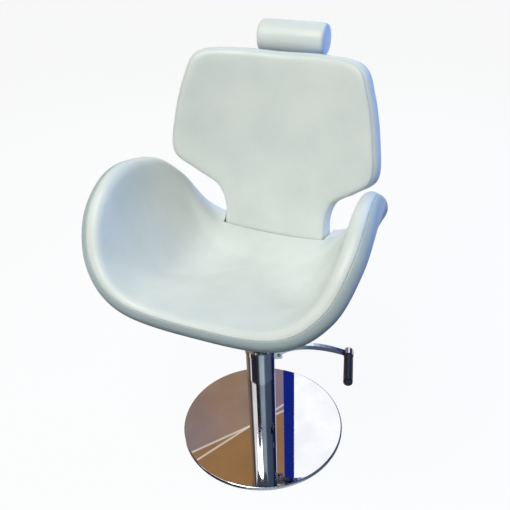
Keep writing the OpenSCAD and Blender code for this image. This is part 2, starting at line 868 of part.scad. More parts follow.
module gas_rod() {
    color("#b9bec4")
    difference() {
        union() {
            translate([gas_x, gas_piston_y, crank_pin_z]) rotate([-90, 0, 0])
            cylinder(d = gas_rod_d, h = crank_pin_y - gas_eye_d / 2 - gas_piston_y + over);
            translate([gas_x, gas_piston_y, crank_pin_z]) rotate([-90, 0, 0])
            cylinder(d = gas_d - 2 * gas_wall - 2 * fit, h = gas_piston_t);
            x_rod([gas_x, crank_pin_y, crank_pin_z], gas_eye_d, gas_eye_w);
        }
        x_rod([gas_x, crank_pin_y, crank_pin_z], gas_pin_d + 2 * gas_open_gap, gas_d);
    }
}

// Height of the release shaft's axis, under the rails
function release_z() = plate_low_z - rail_h - release_drop;

module release_bearings() {
    color("#2b2d31")
    for (x = [release_in_x, rail_x]) {
        top_z = x == rail_x ? plate_low_z - rail_h : plate_low_z;
        translate([x, release_y, 0]) rotate([90, 0, 90]) linear_extrude(release_bearing_w, center = true)
        difference() {
            union() {
                translate([-release_bearing_d / 2, release_z()])
                square([release_bearing_d, top_z - release_z()]);
                translate([0, release_z()]) circle(d = release_bearing_d);
            }
            translate([0, release_z()]) circle(d = release_d + 2 * fit);
        }
    }
}

module release_shaft() {
    color("#8c9096")
    union() {
        x_rod([(release_in_x - release_bearing_w + release_out_x) / 2, release_y, release_z()],
            release_d, release_out_x - release_in_x + release_bearing_w);
        translate([gas_x + release_bearing_w / 2, release_y - cam_w / 2, release_z()])
        cube([cam_w, cam_w, cam_len]);
    }
}

module release_handle() {
    color("#2b2d31")
    translate([release_out_x - handle_w, release_y, release_z()]) difference() {
        union() {
            translate([0, -handle_len, -handle_t / 2]) cube([handle_w, handle_len, handle_t]);
            rotate([0, 90, 0]) cylinder(d = release_bearing_d, h = handle_w);
        }
        translate([-over, 0, 0]) rotate([0, 90, 0])
        cylinder(d = release_d + 2 * fit, h = handle_w + 2 * over);
    }
}

module release_knob() {
    start = release_bearing_d;
    color("#17181b")
    translate([release_out_x - handle_w / 2, release_y - start, release_z()]) difference() {
        rotate([90, 0, 0]) cylinder(d = knob_d + 2 * handle_t, h = knob_len);
        translate([-handle_w / 2 - fit, -handle_len + start - fit, -handle_t / 2 - fit])
        cube([handle_w + 2 * fit, handle_len, handle_t + 2 * fit]);
    }
}

// Children in the back's own frame: X across, Y rearwards and Z up along the lean
module back_frame() {
    translate(back_origin) rotate([-back_lean, 0, 0]) children();
}

function hollow(u) = u * u / (2 * back_hollow_r);
function hollow_turn(u) = atan(u / back_hollow_r);
function neck_half() = back_w / 2 * outline_u_shares[0];

// Point of the back at width u and height h, w forward of the seam surface
function back_point(u, h, w) =
    let (turn = hollow_turn(u))
    [u - w * sin(turn), -hollow(u) - w * cos(turn), h];

// Outline of the back: the straight foot and side of the neck, then a curve to the top centre
outline_spans = len(outline_u_shares) - 1;
function outline_foot(share) = [back_w / 2 * outline_u_shares[0] * share, back_h * outline_h_shares[0]];
function neck_side(s) = [
    back_w / 2 * (outline_u_shares[0] * (1 - s) + outline_u_shares[1] * s),
    back_h * (outline_h_shares[0] * (1 - s) + outline_h_shares[1] * s)];
function outline_curve(s) =
    [back_w / 2 * share_at(outline_u_shares, s, -1), back_h * share_at(outline_h_shares, s, 1)];
function outline_at(s) = s < 1 ? neck_side(s) : outline_curve(s);
outline_right = concat(
    [for (share = neck_foot_shares) outline_foot(share)],
    [for (k = [1 : outline_span_steps * outline_spans]) outline_at(k / outline_span_steps)]);
back_outline = concat(outline_right,
    [for (i = [len(outline_right) - 2 : -1 : 1]) [-outline_right[i].x, outline_right[i].y]]);
back_centre = [0, back_h * back_centre_share];

// Ring of the back's outline drawn in to a share of its size, moved out by a bulge, at depth w
function back_ring(share, w, bulge = 0) = [for (p = back_outline)
    let (q = back_centre + share * (p - back_centre), out = bulge * unit(p - back_centre))
    back_point(q.x + out.x, q.y + out.y, w)];
function back_pole(w) = back_point(0, back_centre.y, w);

module back_board() {
    front = -soft_gap;
    rear = front - board_t;
    rings = concat(
        [for (share = board_ring_shares) back_ring(share, front)],
        [for (share = backwards(board_ring_shares)) back_ring(share, rear)]);
    color("#c9a877")
    back_frame()
    closed_skin(back_pole(front), rings, back_pole(rear), len(board_ring_shares));
}

module back_pad() {
    full = back_edge_t + back_crown;
    rings = concat(
        [for (i = [0 : len(front_ring_shares) - 1])
            back_ring(front_ring_shares[i], front_rise_shares[i] * full)],
        [back_ring(1, 0)],
        [for (share = backwards(board_ring_shares)) back_ring(share, 0)]);
    color("#e4e8e6")
    back_frame()
    closed_skin(back_pole(full), rings, back_pole(0), len(front_ring_shares));
}

module back_cover() {
    board_edge = board_ring_shares[len(board_ring_shares) - 1];
    inner = -board_t - 2 * soft_gap;
    rear = -back_rear_t;
    rings = concat(
        [for (share = board_ring_shares) back_ring(share, inner, share == board_edge ? soft_gap : 0)],
        [back_ring(board_edge, -soft_gap, soft_gap)],
        [back_ring(lip_share, -soft_gap), back_ring(1, -2 * soft_gap)],
        [back_ring(1, -back_rear_t / 4, side_bulge)],
        [back_ring(1, -back_rear_t * side_full_share, side_bulge)],
        [back_ring(1, rear + rear_round, side_bulge / 2), back_ring(rear_edge_share, rear + rear_round / 4)],
        [for (share = rear_ring_shares) back_ring(share, rear)]);
    color("#dfe4e3")
    back_frame()
    closed_skin(back_pole(inner), rings, back_pole(rear), len(rings));
}

// Place of the hinge in the back's frame, as [rearwards, up]
hinge_back = hinge_y - back_origin.y;
hinge_up = hinge_z - back_origin.z;
hinge_d = hinge_back * cos(back_lean) - hinge_up * sin(back_lean);
hinge_h = hinge_back * sin(back_lean) + hinge_up * cos(back_lean);

// Point of the back's rear face at a distance x from its middle
function rear_u(x) = x / (1 + back_rear_t / back_hollow_r);
function rear_point(x) = back_point(rear_u(x), 0, -back_rear_t);

// Children on the back's rear face at distance x from its middle, with X across it and Y away from it
module on_rear(x) {
    p = rear_point(x);
    translate([p.x, p.y, 0]) rotate([0, 0, -hollow_turn(rear_u(x))]) children();
}

module back_brackets() {
    rear_d = rear_point(bracket_x + bracket_t / 2).y + flange_t / 2;
    web_d = hinge_d - rear_d;
    across = eye_r * cos(web_turn);
    along = eye_r * sin(web_turn);
    web_profile = [
        [rear_d, flange_top], [rear_d + web_d * web_top_share, flange_top],
        [rear_d + web_d * web_mid_share, 0], [hinge_d + across, hinge_h + along],
        [hinge_d, hinge_h], [hinge_d - across, hinge_h - along], [rear_d, flange_low]];
    color("#b9bec4")
    for (side = [-1, 1]) {
        back_frame() difference() {
            union() {
                translate([side * (bracket_x + bracket_t / 2), 0, 0]) rotate([90, 0, 90])
                linear_extrude(bracket_t, center = true) polygon(web_profile);
                x_rod([side * (bracket_x + bracket_t / 2), hinge_d, hinge_h], 2 * eye_r, bracket_t);
                on_rear(side * (bracket_x + bracket_t / 2)) translate([-flange_w / 2, soft_gap, flange_low])
                cube([flange_w, flange_t, flange_top - flange_low]);
            }
            x_rod([side * bracket_x, hinge_d, hinge_h],
                hinge_pin_d + 2 * bush_wall + 2 * fit, 8 * bracket_t);
            bracket_screw_places(side) translate([0, flange_t / 2, 0]) rotate([90, 0, 0])
            cylinder(d = screw_d + 2 * fit, h = 4 * flange_t, center = true);
        }
    }
}

module bracket_screw_places(side) {
    on_rear(side * (bracket_x + bracket_t / 2)) {
        for (h = screw_places) {
            translate([-side * screw_from_web, 0, h]) children();
        }
    }
}

// Screw with its head away from the face and its shank biting into it
module face_screw(head_out) {
    translate([0, head_out, 0]) rotate([-90, 0, 0]) cylinder(d = screw_head_d, h = screw_head_h);
    translate([0, head_out + over, 0]) rotate([90, 0, 0])
    cylinder(d = screw_d, h = head_out + screw_bite + over);
}

module back_screws() {
    color("#8c9096")
    back_frame() for (side = [-1, 1]) {
        bracket_screw_places(side) face_screw(flange_t + soft_gap);
    }
}

module cross_tube() {
    color("#b9bec4")
    difference() {
        x_rod([0, hinge_y, hinge_z], cross_d, 2 * bracket_x);
        x_rod([0, hinge_y, hinge_z], cross_d - 2 * cross_wall, 2 * bracket_x + 2 * over);
    }
}

module hinge_bushes() {
    color("#e6e2d4")
    for (side = [-1, 1]) {
        middle = [side * (bracket_x + bracket_t / 2), hinge_y, hinge_z];
        difference() {
            x_rod(middle, hinge_pin_d + 2 * bush_wall, bracket_t);
            x_rod(middle, hinge_pin_d + 2 * fit, 2 * bracket_t);
        }
    }
}

module recline_crank() {
    gap = gas_eye_w + 2 * crank_gap;
    color("#b9bec4")
    for (side = [-1, 1]) {
        translate([gas_x + side * (gap + crank_t) / 2, 0, 0]) rotate([90, 0, 90])
        linear_extrude(crank_t, center = true) difference() {
            union() {
                translate([hinge_y, hinge_z]) circle(r = eye_r);
                translate([crank_pin_y, crank_pin_z]) circle(d = anchor_w);
                translate([hinge_y, hinge_z]) rotate(crank_back_turn)
                translate([-anchor_w / 2, -crank_r]) square([anchor_w, crank_r]);
            }
            translate([hinge_y, hinge_z]) circle(d = cross_d + 2 * fit);
            translate([crank_pin_y, crank_pin_z]) circle(d = gas_pin_d + 2 * fit);
        }
    }
}

module gas_rear_pin() {
    color("#8c9096")
    x_rod([gas_x, crank_pin_y, crank_pin_z], gas_pin_d, gas_eye_w + 2 * crank_gap + 2 * crank_t);
}

// Heights in the back's frame that the headrest is set out from
roll_h = back_h + roll_up;
bar_d = back_rear_t + bar_back;

module headrest_guide() {
    low = back_h - guide_low;
    high = back_h - guide_high;
    front_d = back_rear_t + soft_gap;
    color("#2b2d31")
    back_frame() difference() {
        translate([-guide_w / 2, front_d, low])
        cube([guide_w, bar_d + bar_t / 2 + guide_rear - front_d, high - low]);
        translate([-bar_w / 2 - fit, bar_d - bar_t / 2 - fit, low - over])
        cube([bar_w + 2 * fit, bar_t + 2 * fit, high - low + 2 * over]);
        guide_screw_places(low, high) translate([0, -over, 0]) rotate([-90, 0, 0])
        cylinder(d = screw_d + 2 * fit, h = bar_d);
    }
}

module guide_screw_places(low, high) {
    for (x = [-guide_screw_x, guide_screw_x]) {
        for (h = [low + guide_screw_inset, high - guide_screw_inset]) {
            translate([x, back_rear_t, h]) children();
        }
    }
}

module guide_screws() {
    head_out = bar_d + bar_t / 2 + guide_rear - back_rear_t;
    color("#8c9096")
    back_frame() guide_screw_places(back_h - guide_low, back_h - guide_high) face_screw(head_out);
}

module headrest_bar() {
    half = bar_t / 2;
    bend_low = back_h - bar_bend_low;
    bend_high = roll_h - roll_d / 2 - bar_bend_high / 2;
    bar_end = roll_h + core_d / 4;
    color("#b9bec4")
    back_frame() rotate([90, 0, 90]) linear_extrude(bar_w, center = true) polygon([
        [bar_d - half, back_h - bar_low], [bar_d + half, back_h - bar_low],
        [bar_d + half, bend_low - half], [roll_back + half, bend_high - half],
        [roll_back + half, bar_end], [roll_back - half, bar_end],
        [roll_back - half, bend_high + half], [bar_d - half, bend_low + half]]);
}

module headrest_core() {
    color("#c9a877")
    back_frame() difference() {
        x_rod([0, roll_back, roll_h], core_d, core_len);
        translate([-bar_w / 2 - fit, roll_back - bar_t / 2 - fit, roll_h - core_d])
        cube([bar_w + 2 * fit, bar_t + 2 * fit, core_d + core_d / 4 + fit]);
    }
}

// Half profile of the roll: a crowned side, rounded edges and slightly domed ends
module roll_profile() {
    half = roll_len / 2;
    side_r = roll_d / 2 - roll_crown;
    crown_r = half * half / (2 * roll_crown);
    edge_middle = [side_r - roll_edge_r, half - roll_end_dome - roll_edge_r];
    edge = [for (a = [0 : 10 : 90]) edge_middle + roll_edge_r * [cos(a), sin(a)]];
    crown = [for (share = [0.2, 0.4, 0.6]) let (x = share * half) [roll_d / 2 - x * x / (2 * crown_r), x]];
    end = [for (share = [0.75, 0.5, 0.25, 0])
        [(side_r - roll_edge_r) * share, half - roll_end_dome * share * share]];
    upper = concat([[roll_d / 2, 0]], crown, edge, end);
    lower = [for (i = [len(upper) - 1 : -1 : 1]) [upper[i].x, -upper[i].y]];
    polygon(concat(upper, lower));
}

module headrest_pad() {
    color("#e4e8e6")
    back_frame() difference() {
        translate([0, roll_back, roll_h]) rotate([0, 90, 0]) rotate_extrude() roll_profile();
        x_rod([0, roll_back, roll_h], core_d + 2 * soft_gap, core_len + 2 * soft_gap);
        translate([-bar_w / 2 - soft_gap, roll_back - bar_t / 2 - soft_gap, roll_h - roll_d])
        cube([bar_w + 2 * soft_gap, bar_t + 2 * soft_gap, roll_d]);
    }
}

floor_mat();
base_disc();
foot_bolts();
column_foot();
column_sleeve();
column_collar();
gland_wiper();
pump_head();
pump_cylinder();
pump_block();
lever_bracket();
lever_pin();
pump_plunger();
pump_lever_arm();
toe_pin();
pedal_boss();
pedal_rod();
pedal_grip();
pedal_cap();
lift_ram();
ram_piston();
swivel_washer();
seat_hub();
seat_plate();
seat_rails();
seat_bolts();
tub_cover();
tub_pan();
tub_pad();
hinge_plates();
hinge_pins();
gas_anchor();
gas_front_pin();
release_bearings();
gas_cylinder();
gas_rod();
release_shaft();
release_handle();
release_knob();
back_board();
back_pad();
back_cover();
back_brackets();
back_screws();
cross_tube();
hinge_bushes();
recline_crank();
gas_rear_pin();
headrest_guide();
guide_screws();
headrest_bar();
headrest_core();
headrest_pad();
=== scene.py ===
"""Looks of a hydraulic barber chair with a winged tub seat, a shield back and a roll headrest.

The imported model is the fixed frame. The upholstered pieces made here stand for its soft solids, and every
other node keeps its shape and gets the finish of its material slot. Lengths are in metres, -Y is the front
and +Z is up.
"""

import json
import logging
import math
from collections.abc import Callable, Sequence
from dataclasses import dataclass, replace
from enum import Enum

import bmesh
import bpy
from mathutils import Matrix, Vector, noise

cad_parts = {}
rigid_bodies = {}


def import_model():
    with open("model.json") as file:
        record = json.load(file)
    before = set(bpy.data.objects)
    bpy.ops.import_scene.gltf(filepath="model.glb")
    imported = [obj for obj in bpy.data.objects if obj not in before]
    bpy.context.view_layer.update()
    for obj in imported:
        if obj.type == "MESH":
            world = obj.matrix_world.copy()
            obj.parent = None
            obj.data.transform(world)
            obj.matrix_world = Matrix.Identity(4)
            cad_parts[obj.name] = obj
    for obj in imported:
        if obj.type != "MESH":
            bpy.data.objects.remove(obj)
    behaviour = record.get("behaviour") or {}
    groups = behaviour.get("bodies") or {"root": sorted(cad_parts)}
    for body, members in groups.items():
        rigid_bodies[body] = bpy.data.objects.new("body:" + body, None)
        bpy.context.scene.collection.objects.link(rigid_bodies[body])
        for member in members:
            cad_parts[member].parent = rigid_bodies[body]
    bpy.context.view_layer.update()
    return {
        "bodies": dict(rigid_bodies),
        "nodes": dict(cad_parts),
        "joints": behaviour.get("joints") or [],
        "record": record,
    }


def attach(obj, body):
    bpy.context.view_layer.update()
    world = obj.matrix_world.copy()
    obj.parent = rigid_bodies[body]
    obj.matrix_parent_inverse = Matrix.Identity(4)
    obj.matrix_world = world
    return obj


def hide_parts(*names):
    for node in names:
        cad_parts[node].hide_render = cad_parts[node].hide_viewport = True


LOG = logging.getLogger("barber_chair")
Ring = list[Vector]
BMesh = bmesh.types.BMesh
BMVert = bmesh.types.BMVert
Object = bpy.types.Object
Material = bpy.types.Material
Tree = bpy.types.NodeTree
Socket = bpy.types.NodeSocket
Pair = tuple[float, float]
Place = tuple[float, float, float]
Colour = tuple[float, float, float, float]
Shares = tuple[float, ...]
Table = tuple[Place, ...]
WHITE: Colour = (1.0, 1.0, 1.0, 1.0)
# Half a stitch's length is a share of the pitch, and the stitch lies sunk below the skin
STITCH_PITCH = 0.006
STITCH_HALF_SHARE = 0.4
STITCH_HALF_WIDTH = 0.0007
STITCH_HALF_HEIGHT = 0.0006
STITCH_SINK = 0.0009
SHARP_ANGLE = 50.0
CLOTH_FRAMES = 20


class Grain(Enum):
    """How the surface of a finish is broken up."""

    PEBBLE = "leather grain pressed into vinyl"
    PEEL = "orange peel of baked powder or paint"
    LAY = "fine lines left by polishing or turning"
    CAST = "sandy skin of cast iron"
    MOULD = "dull texture of a mould"
    WOOD = "long grain of beech"


# Scale along X of the grains that run in long lines, and the detail of the noise
LINE_SCALE = {Grain.LAY: 0.03, Grain.WOOD: 0.06}
GRAIN_DETAIL = 3.0
CAST_DETAIL = 6.0


def linear(code: str) -> Colour:
    """Turns an sRGB hex colour into linear values.

    Args:
        code: The colour, such as #DAE0E0.

    Returns:
        The linear values, with an alpha of 1.
    """
    parts = [int(code[i : i + 2], 16) / 255 for i in (1, 3, 5)]
    red, green, blue = (c / 12.92 if c <= 0.04045 else ((c + 0.055) / 1.055) ** 2.4 for c in parts)
    return red, green, blue, 1.0


def add(tree: Tree, kind: str, inputs: dict | None = None, **settings: str) -> bpy.types.Node:
    """Adds a node with its settings, values and links.

    Args:
        tree: The node tree that gets the node.
        kind: The node's type name.
        inputs: Values by socket name or index. A socket as the value is linked.
        settings: Properties of the node itself.

    Returns:
        The new node.
    """
    made = tree.nodes.new(kind)
    for name, value in settings.items():
        setattr(made, name, value)
    for key, value in (inputs or {}).items():
        if isinstance(value, bpy.types.NodeSocket):
            tree.links.new(value, made.inputs[key])
        else:
            made.inputs[key].default_value = value
    return made


def empty_tree(owner: Material | bpy.types.World) -> Tree:
    """Gives a material or a world an empty node tree.

    Args:
        owner: The material or the world.

    Returns:
        The tree.
    """
    owner.use_nodes = True
    owner.node_tree.nodes.clear()
    return owner.node_tree


def blend(tree: Tree, share: Socket, first: Socket | Colour, second: Socket | Colour) -> Socket:
    """Mixes two colours, by the share of the second, and gives the result's socket."""
    # Of the Mix node's sockets, 0 is the factor, 6 and 7 are the colours and 2 is their result
    return add(tree, "ShaderNodeMix", {0: share, 6: first, 7: second}, data_type="RGBA").outputs[2]


def mix_shaders(tree: Tree, share: Socket | float, first: Socket, second: Socket) -> Socket:
    """Mixes two shaders, by the share of the second, and gives the result's socket."""
    return add(tree, "ShaderNodeMixShader", {0: share, 1: first, 2: second}).outputs[0]


def combine(tree: Tree, operation: str, *values: Socket | float) -> Socket:
    """Combines values by an operation of the Math node and gives the result's socket."""
    return add(tree, "ShaderNodeMath", dict(enumerate(values)), operation=operation).outputs[0]


def remap(tree: Tree, value: Socket, span: Pair = (0.0, 1.0), to: Pair = (0.0, 1.0)) -> Socket:
    """Maps a value from one span to another, held at the ends, and gives the result's socket."""
    ends = {"From Min": span[0], "From Max": span[1], "To Min": to[0], "To Max": to[1]}
    return add(tree, "ShaderNodeMapRange", {"Value": value, **ends}).outputs["Result"]


def clouds(tree: Tree, place: Socket, scale: float, detail: float) -> Socket:
    """Gives the socket with a soft noise between 0 and 1."""
    noisy = {"Vector": place, "Scale": scale, "Detail": detail}
    return add(tree, "ShaderNodeTexNoise", noisy).outputs["Fac"]


@dataclass(frozen=True)
class Finish:
    """A finish: its two close colours, its gloss and the size and depth of its grain in metres."""

    name: str
    colour: str
    drift: str
    roughness: Pair
    grain: Grain
    grain_size: float
    grain_depth: float
    metallic: float = 0.0
    patch: float = 0.09
    patch_detail: float = 4.0
    patch_span: Pair = (0.35, 0.65)
    # Scale and detail of the specks
    specks: Pair = (140.0, 5.0)
    speck_span: Pair = (0.66, 0.74)
    speck_share: Pair = (0.0, 0.25)
    speck_colour: Colour = (0.5, 0.5, 0.5, 1.0)

    def height(self, tree: Tree, place: Socket) -> Socket:
        """Height of the grain, from 0 to 1.

        Args:
            tree: The material's node tree.
            place: Object coordinates.

        Returns:
            The socket that gives the height.
        """
        scale = 1 / self.grain_size
        if self.grain is Grain.PEBBLE:
            pebbles = {"Vector": place, "Scale": scale}
            return add(tree, "ShaderNodeTexVoronoi", pebbles, feature="SMOOTH_F1").outputs["Distance"]
        if self.grain in LINE_SCALE:
            lines = {"Vector": place, "Scale": (LINE_SCALE[self.grain], 1.0, 1.0)}
            place = add(tree, "ShaderNodeMapping", lines).outputs[0]
        return clouds(tree, place, scale, CAST_DETAIL if self.grain is Grain.CAST else GRAIN_DETAIL)

    def patches(self, tree: Tree, place: Socket) -> Socket:
        """Gives the socket with the second colour's share, in large soft patches."""
        return remap(tree, clouds(tree, place, 1 / self.patch, self.patch_detail), self.patch_span)

    def build(self) -> Material:
        """Makes the material, whose colours follow the grain on wood and patches on all else.

        Returns:
            The material.
        """
        material = bpy.data.materials.new(self.name)
        tree = empty_tree(material)
        place = add(tree, "ShaderNodeTexCoord").outputs["Object"]
        height = self.height(tree, place)
        share = height if self.grain is Grain.WOOD else self.patches(tree, place)
        colour = blend(tree, share, linear(self.colour), linear(self.drift))
        bump = {"Height": height, "Distance": self.grain_depth, "Strength": 1.0}
        inputs = {
            "Base Color": self.wear_and_seam_shade(tree, place, colour),
            "Roughness": remap(tree, share, to=self.roughness),
            "Metallic": self.metallic,
            "Normal": add(tree, "ShaderNodeBump", bump).outputs["Normal"],
        }
        shader = add(tree, "ShaderNodeBsdfPrincipled", inputs)
        add(tree, "ShaderNodeOutputMaterial", {"Surface": shader.outputs[0]})
        return material

    def wear_and_seam_shade(self, tree: Tree, place: Socket, colour: Socket) -> Socket:
        """Gives the socket with the colour under small rubbed specks, lighter than the finish."""
        rubbed = remap(tree, clouds(tree, place, *self.specks), self.speck_span, self.speck_share)
        return blend(tree, rubbed, colour, self.speck_colour)


@dataclass(frozen=True)
class VinylFinish(Finish):
    """Coated upholstery vinyl: a satin skin with a pressed grain, greyed along its seams as painted shade in
    the seam grooves.
    """

    # Grey painted beside the seams as the shade that falls in their grooves
    seam_shade_colour: str = "#C2CAC8"

    def wear_and_seam_shade(self, tree: Tree, place: Socket, colour: Socket) -> Socket:
        """Gives the socket with the colour greyed beside the seams, as painted shade in their grooves, by the
        pieces' own seam attribute.
        """
        near = add(tree, "ShaderNodeAttribute", attribute_name="seam").outputs["Fac"]
        return blend(tree, near, colour, linear(self.seam_shade_colour))


@dataclass(frozen=True)
class PolishedDiscFinish(Finish):
    """Mirror chrome on the floor disc, with the faint rings of its polishing wheel."""

    gap: float = 0.022
    wobble: float = 0.6
    detail: float = 2.0

    def height(self, tree: Tree, place: Socket) -> Socket:
        """Gives the socket with the height of the polishing rings."""
        waves = {"Vector": place, "Scale": 1 / self.gap, "Distortion": self.wobble, "Detail": self.detail}
        return add(tree, "ShaderNodeTexWave", waves, wave_type="RINGS", rings_direction="Z").outputs["Fac"]


# Vinyl skin over foam: its pressed pebbles are about 1 mm, drawn at 2.4 mm so that they show
VINYL = VinylFinish(
    "upholstery_vinyl", "#E3E5E2", "#D8DCD9", (0.36, 0.48), Grain.PEBBLE, 0.0024, 0.00014, patch=0.16
)
# The tub's outer cover: the same vinyl painted greyer and bluer, as painted shade on the outer cover
SHADED_COVER_VINYL = replace(VINYL, name="cover_vinyl_painted_shade", colour="#B1BCC0", drift="#A7B3B7")
# Sewing thread, polyester: dull and a little darker than the vinyl
THREAD = Finish("polyester_thread", "#CDD3D1", "#BEC5C3", (0.55, 0.7), Grain.LAY, 0.0008, 0.00008)
# Finish of each material slot of the record
SLOT_FINISHES = {
    "white_vinyl": VINYL,
    "chrome": Finish(
        "chrome_plate", "#D6D8DB", "#C9CCD1", (0.04, 0.09), Grain.LAY, 0.0012, 0.0000015, metallic=1.0
    ),
    "ram_chrome": Finish(
        "hard_chrome", "#C3C6CA", "#B7BABF", (0.12, 0.20), Grain.LAY, 0.0009, 0.00001, metallic=1.0
    ),
    "zinc": Finish(
        "zinc_plate", "#A8ACB2", "#B8B5A6", (0.32, 0.50), Grain.LAY, 0.0012, 0.00004, metallic=1.0
    ),
    "cast_block": Finish(
        "machined_cast_iron", "#4A4C50", "#3A3C40", (0.45, 0.62), Grain.CAST, 0.0016, 0.00012, metallic=1.0
    ),
    "black_steel": Finish(
        "powder_coated_steel", "#1C1D20", "#232529", (0.40, 0.55), Grain.PEEL, 0.0018, 0.00005
    ),
    "gas_black": Finish("gloss_black_paint", "#111215", "#17181B", (0.14, 0.24), Grain.PEEL, 0.003, 0.00002),
    # Black rubber painted navy, as the cast of the blue light that falls on it
    "black_rubber": Finish(
        "moulded_rubber_painted_blue_light", "#10142A", "#1A203E", (0.34, 0.48), Grain.MOULD, 0.0012, 0.00005
    ),
    "mat_rubber": Finish("sheet_rubber", "#1B1C1F", "#26272A", (0.75, 0.9), Grain.MOULD, 0.0015, 0.00012),
    "grip_cap": Finish("moulded_cap", "#4A5068", "#3E4459", (0.35, 0.5), Grain.MOULD, 0.0012, 0.00004),
    "knob_plastic": Finish("phenolic_knob", "#131316", "#1B1B1F", (0.22, 0.34), Grain.MOULD, 0.0015, 0.00002),
    "nylon": Finish("natural_nylon", "#E3DECE", "#D6D0BD", (0.42, 0.55), Grain.MOULD, 0.0014, 0.00004),
    "plywood": Finish("beech_plywood", "#CBA070", "#A67C4C", (0.55, 0.7), Grain.WOOD, 0.006, 0.00015),
}
DISC_FINISH = PolishedDiscFinish(
    "mirror_chrome", "#D9DADD", "#CED0D5", (0.0, 0.012), Grain.LAY, 0.0011, 0.0000002, metallic=1.0
)
# Plywood shell between the two skins, painted grey where it shows at the neck
SHELL_FINISH = Finish("painted_plywood", "#A9AEAE", "#9CA1A1", (0.6, 0.75), Grain.WOOD, 0.006, 0.0001)
# Nodes whose finish isn't their slot's own
NODE_FINISHES = {"base_disc": DISC_FINISH, "tub_pan": SHELL_FINISH}


def share_at(table: Sequence[float], place: float, sign: int) -> float:
    """Value of a share table between its entries, on a Catmull-Rom curve.

    Args:
        table: The table's values, one for each whole place.
        place: Where to read it.
        sign: -1 where the curve mirrors to the other side at its ends, or 1.

    Returns:
        The value there.
    """
    last = len(table) - 1
    i = min(math.floor(place), last - 1)
    t = place - i
    b, c = table[i], table[i + 1]
    a = sign * table[1] if i == 0 else table[i - 1]
    d = sign * table[last - 1] if i == last - 1 else table[i + 2]
    curve = t * (c - a) / 2 + t * t * (a - 2.5 * b + 2 * c - d / 2)
    return b + curve + t**3 * (1.5 * (b - c) + (d - a) / 2)


def piece_of(name: str, bm: BMesh, material: Material) -> Object:
    """Turns a bmesh into a smooth object with a material.

    Args:
        name: The piece's name.
        bm: Its mesh, which is freed.
        material: Its material.

    Returns:
        The object, linked to the scene.
    """
    bmesh.ops.recalc_face_normals(bm, faces=bm.faces)
    mesh = bpy.data.meshes.new(name)
    bm.to_mesh(mesh)
    bm.free()
    mesh.materials.append(material)
    mesh.shade_smooth()
    made = bpy.data.objects.new(name, mesh)
    bpy.context.scene.collection.objects.link(made)
    return made


def extrude_ring(bm: BMesh, ring: list[BMVert]) -> list[BMVert]:
    """Extrudes a closed ring of vertices and gives the new ring in the same order.

    Args:
        bm: The mesh.
        ring: The ring's vertices in order.

    Returns:
        The new vertices, still in the old ones' places.
    """
    edges = [bm.edges.get((a, b)) for a, b in zip(ring, ring[1:] + ring[:1])]
    out = bmesh.ops.extrude_edge_only(bm, edges=edges)["geom"]
    new = {v for v in out if isinstance(v, BMVert)}
    return [next(e.other_vert(v) for e in v.link_edges if e.other_vert(v) in new) for v in ring]


def loft(
    name: str,
    rings: Sequence[Ring],
    seams: Sequence[float],
    poles: tuple[Vector, Vector],
    material: Material,
) -> Object:
    """Makes a closed skin round rings of equal length, closed by a pole at each end.

    Args:
        name: The piece's name.
        rings: The rings, from the first pole to the last.
        seams: How near each ring is to a seam, from 0 to 1.
        poles: The first and the last pole.
        material: Its material.

    Returns:
        The object.
    """
    bm = bmesh.new()
    near = bm.verts.layers.float.new("seam")
    first = bmesh.ops.create_circle(bm, segments=len(rings[0]), radius=1.0)["verts"]
    for vert, place in zip(first, rings[0]):
        vert.co = place
    ring = first
    for places, seam in zip(rings[1:], seams[1:]):
        ring = extrude_ring(bm, ring)
        for vert, place in zip(ring, places):
            vert.co = place
            vert[near] = seam
    for end, pole in ((first, poles[0]), (ring, poles[1])):
        bmesh.ops.pointmerge(bm, verts=extrude_ring(bm, end), merge_co=pole)
    return piece_of(name, bm, material)


def settle(piece: Object) -> None:
    """Makes a piece's modifiers part of its mesh.

    Args:
        piece: The piece.
    """
    graph = bpy.context.evaluated_depsgraph_get()
    old = piece.data
    piece.data = bpy.data.meshes.new_from_object(
        piece.evaluated_get(graph), preserve_all_data_layers=True, depsgraph=graph
    )
    piece.modifiers.clear()
    bpy.data.meshes.remove(old)


def cut(piece: Object, cutter: Object) -> None:
    """Cuts a closed cutter out of a piece and removes the cutter.

    Args:
        piece: The closed piece that is cut.
        cutter: The closed shape to take out of it.
    """
    modifier = piece.modifiers.new("cut", "BOOLEAN")
    modifier.operation = "DIFFERENCE"
    modifier.solver = "EXACT"
    modifier.object = cutter
    settle(piece)
    bpy.data.objects.remove(cutter)
    piece.data.set_sharp_from_angle(angle=math.radians(SHARP_ANGLE))


def prism(name: str, outline: Sequence[Vector], low: float, high: float, place: Matrix) -> Object:
    """Makes an upright prism on an outline.

    Args:
        name: The object's name.
        outline: The corners, with X and Y.
        low: Height of its foot.
        high: Height of its top.
        place: The matrix that puts it in its place.

    Returns:
        The object.
    """
    bm = bmesh.new()
    foot = [bm.verts.new((p.x, p.y, low)) for p in outline]
    out = bmesh.ops.extrude_face_region(bm, geom=[bm.faces.new(foot)])["geom"]
    raised = [v for v in out if isinstance(v, BMVert)]
    bmesh.ops.translate(bm, verts=raised, vec=(0, 0, high - low))
    bmesh.ops.transform(bm, matrix=place, verts=bm.verts)
    return piece_of(name, bm, bpy.data.materials[VINYL.name])


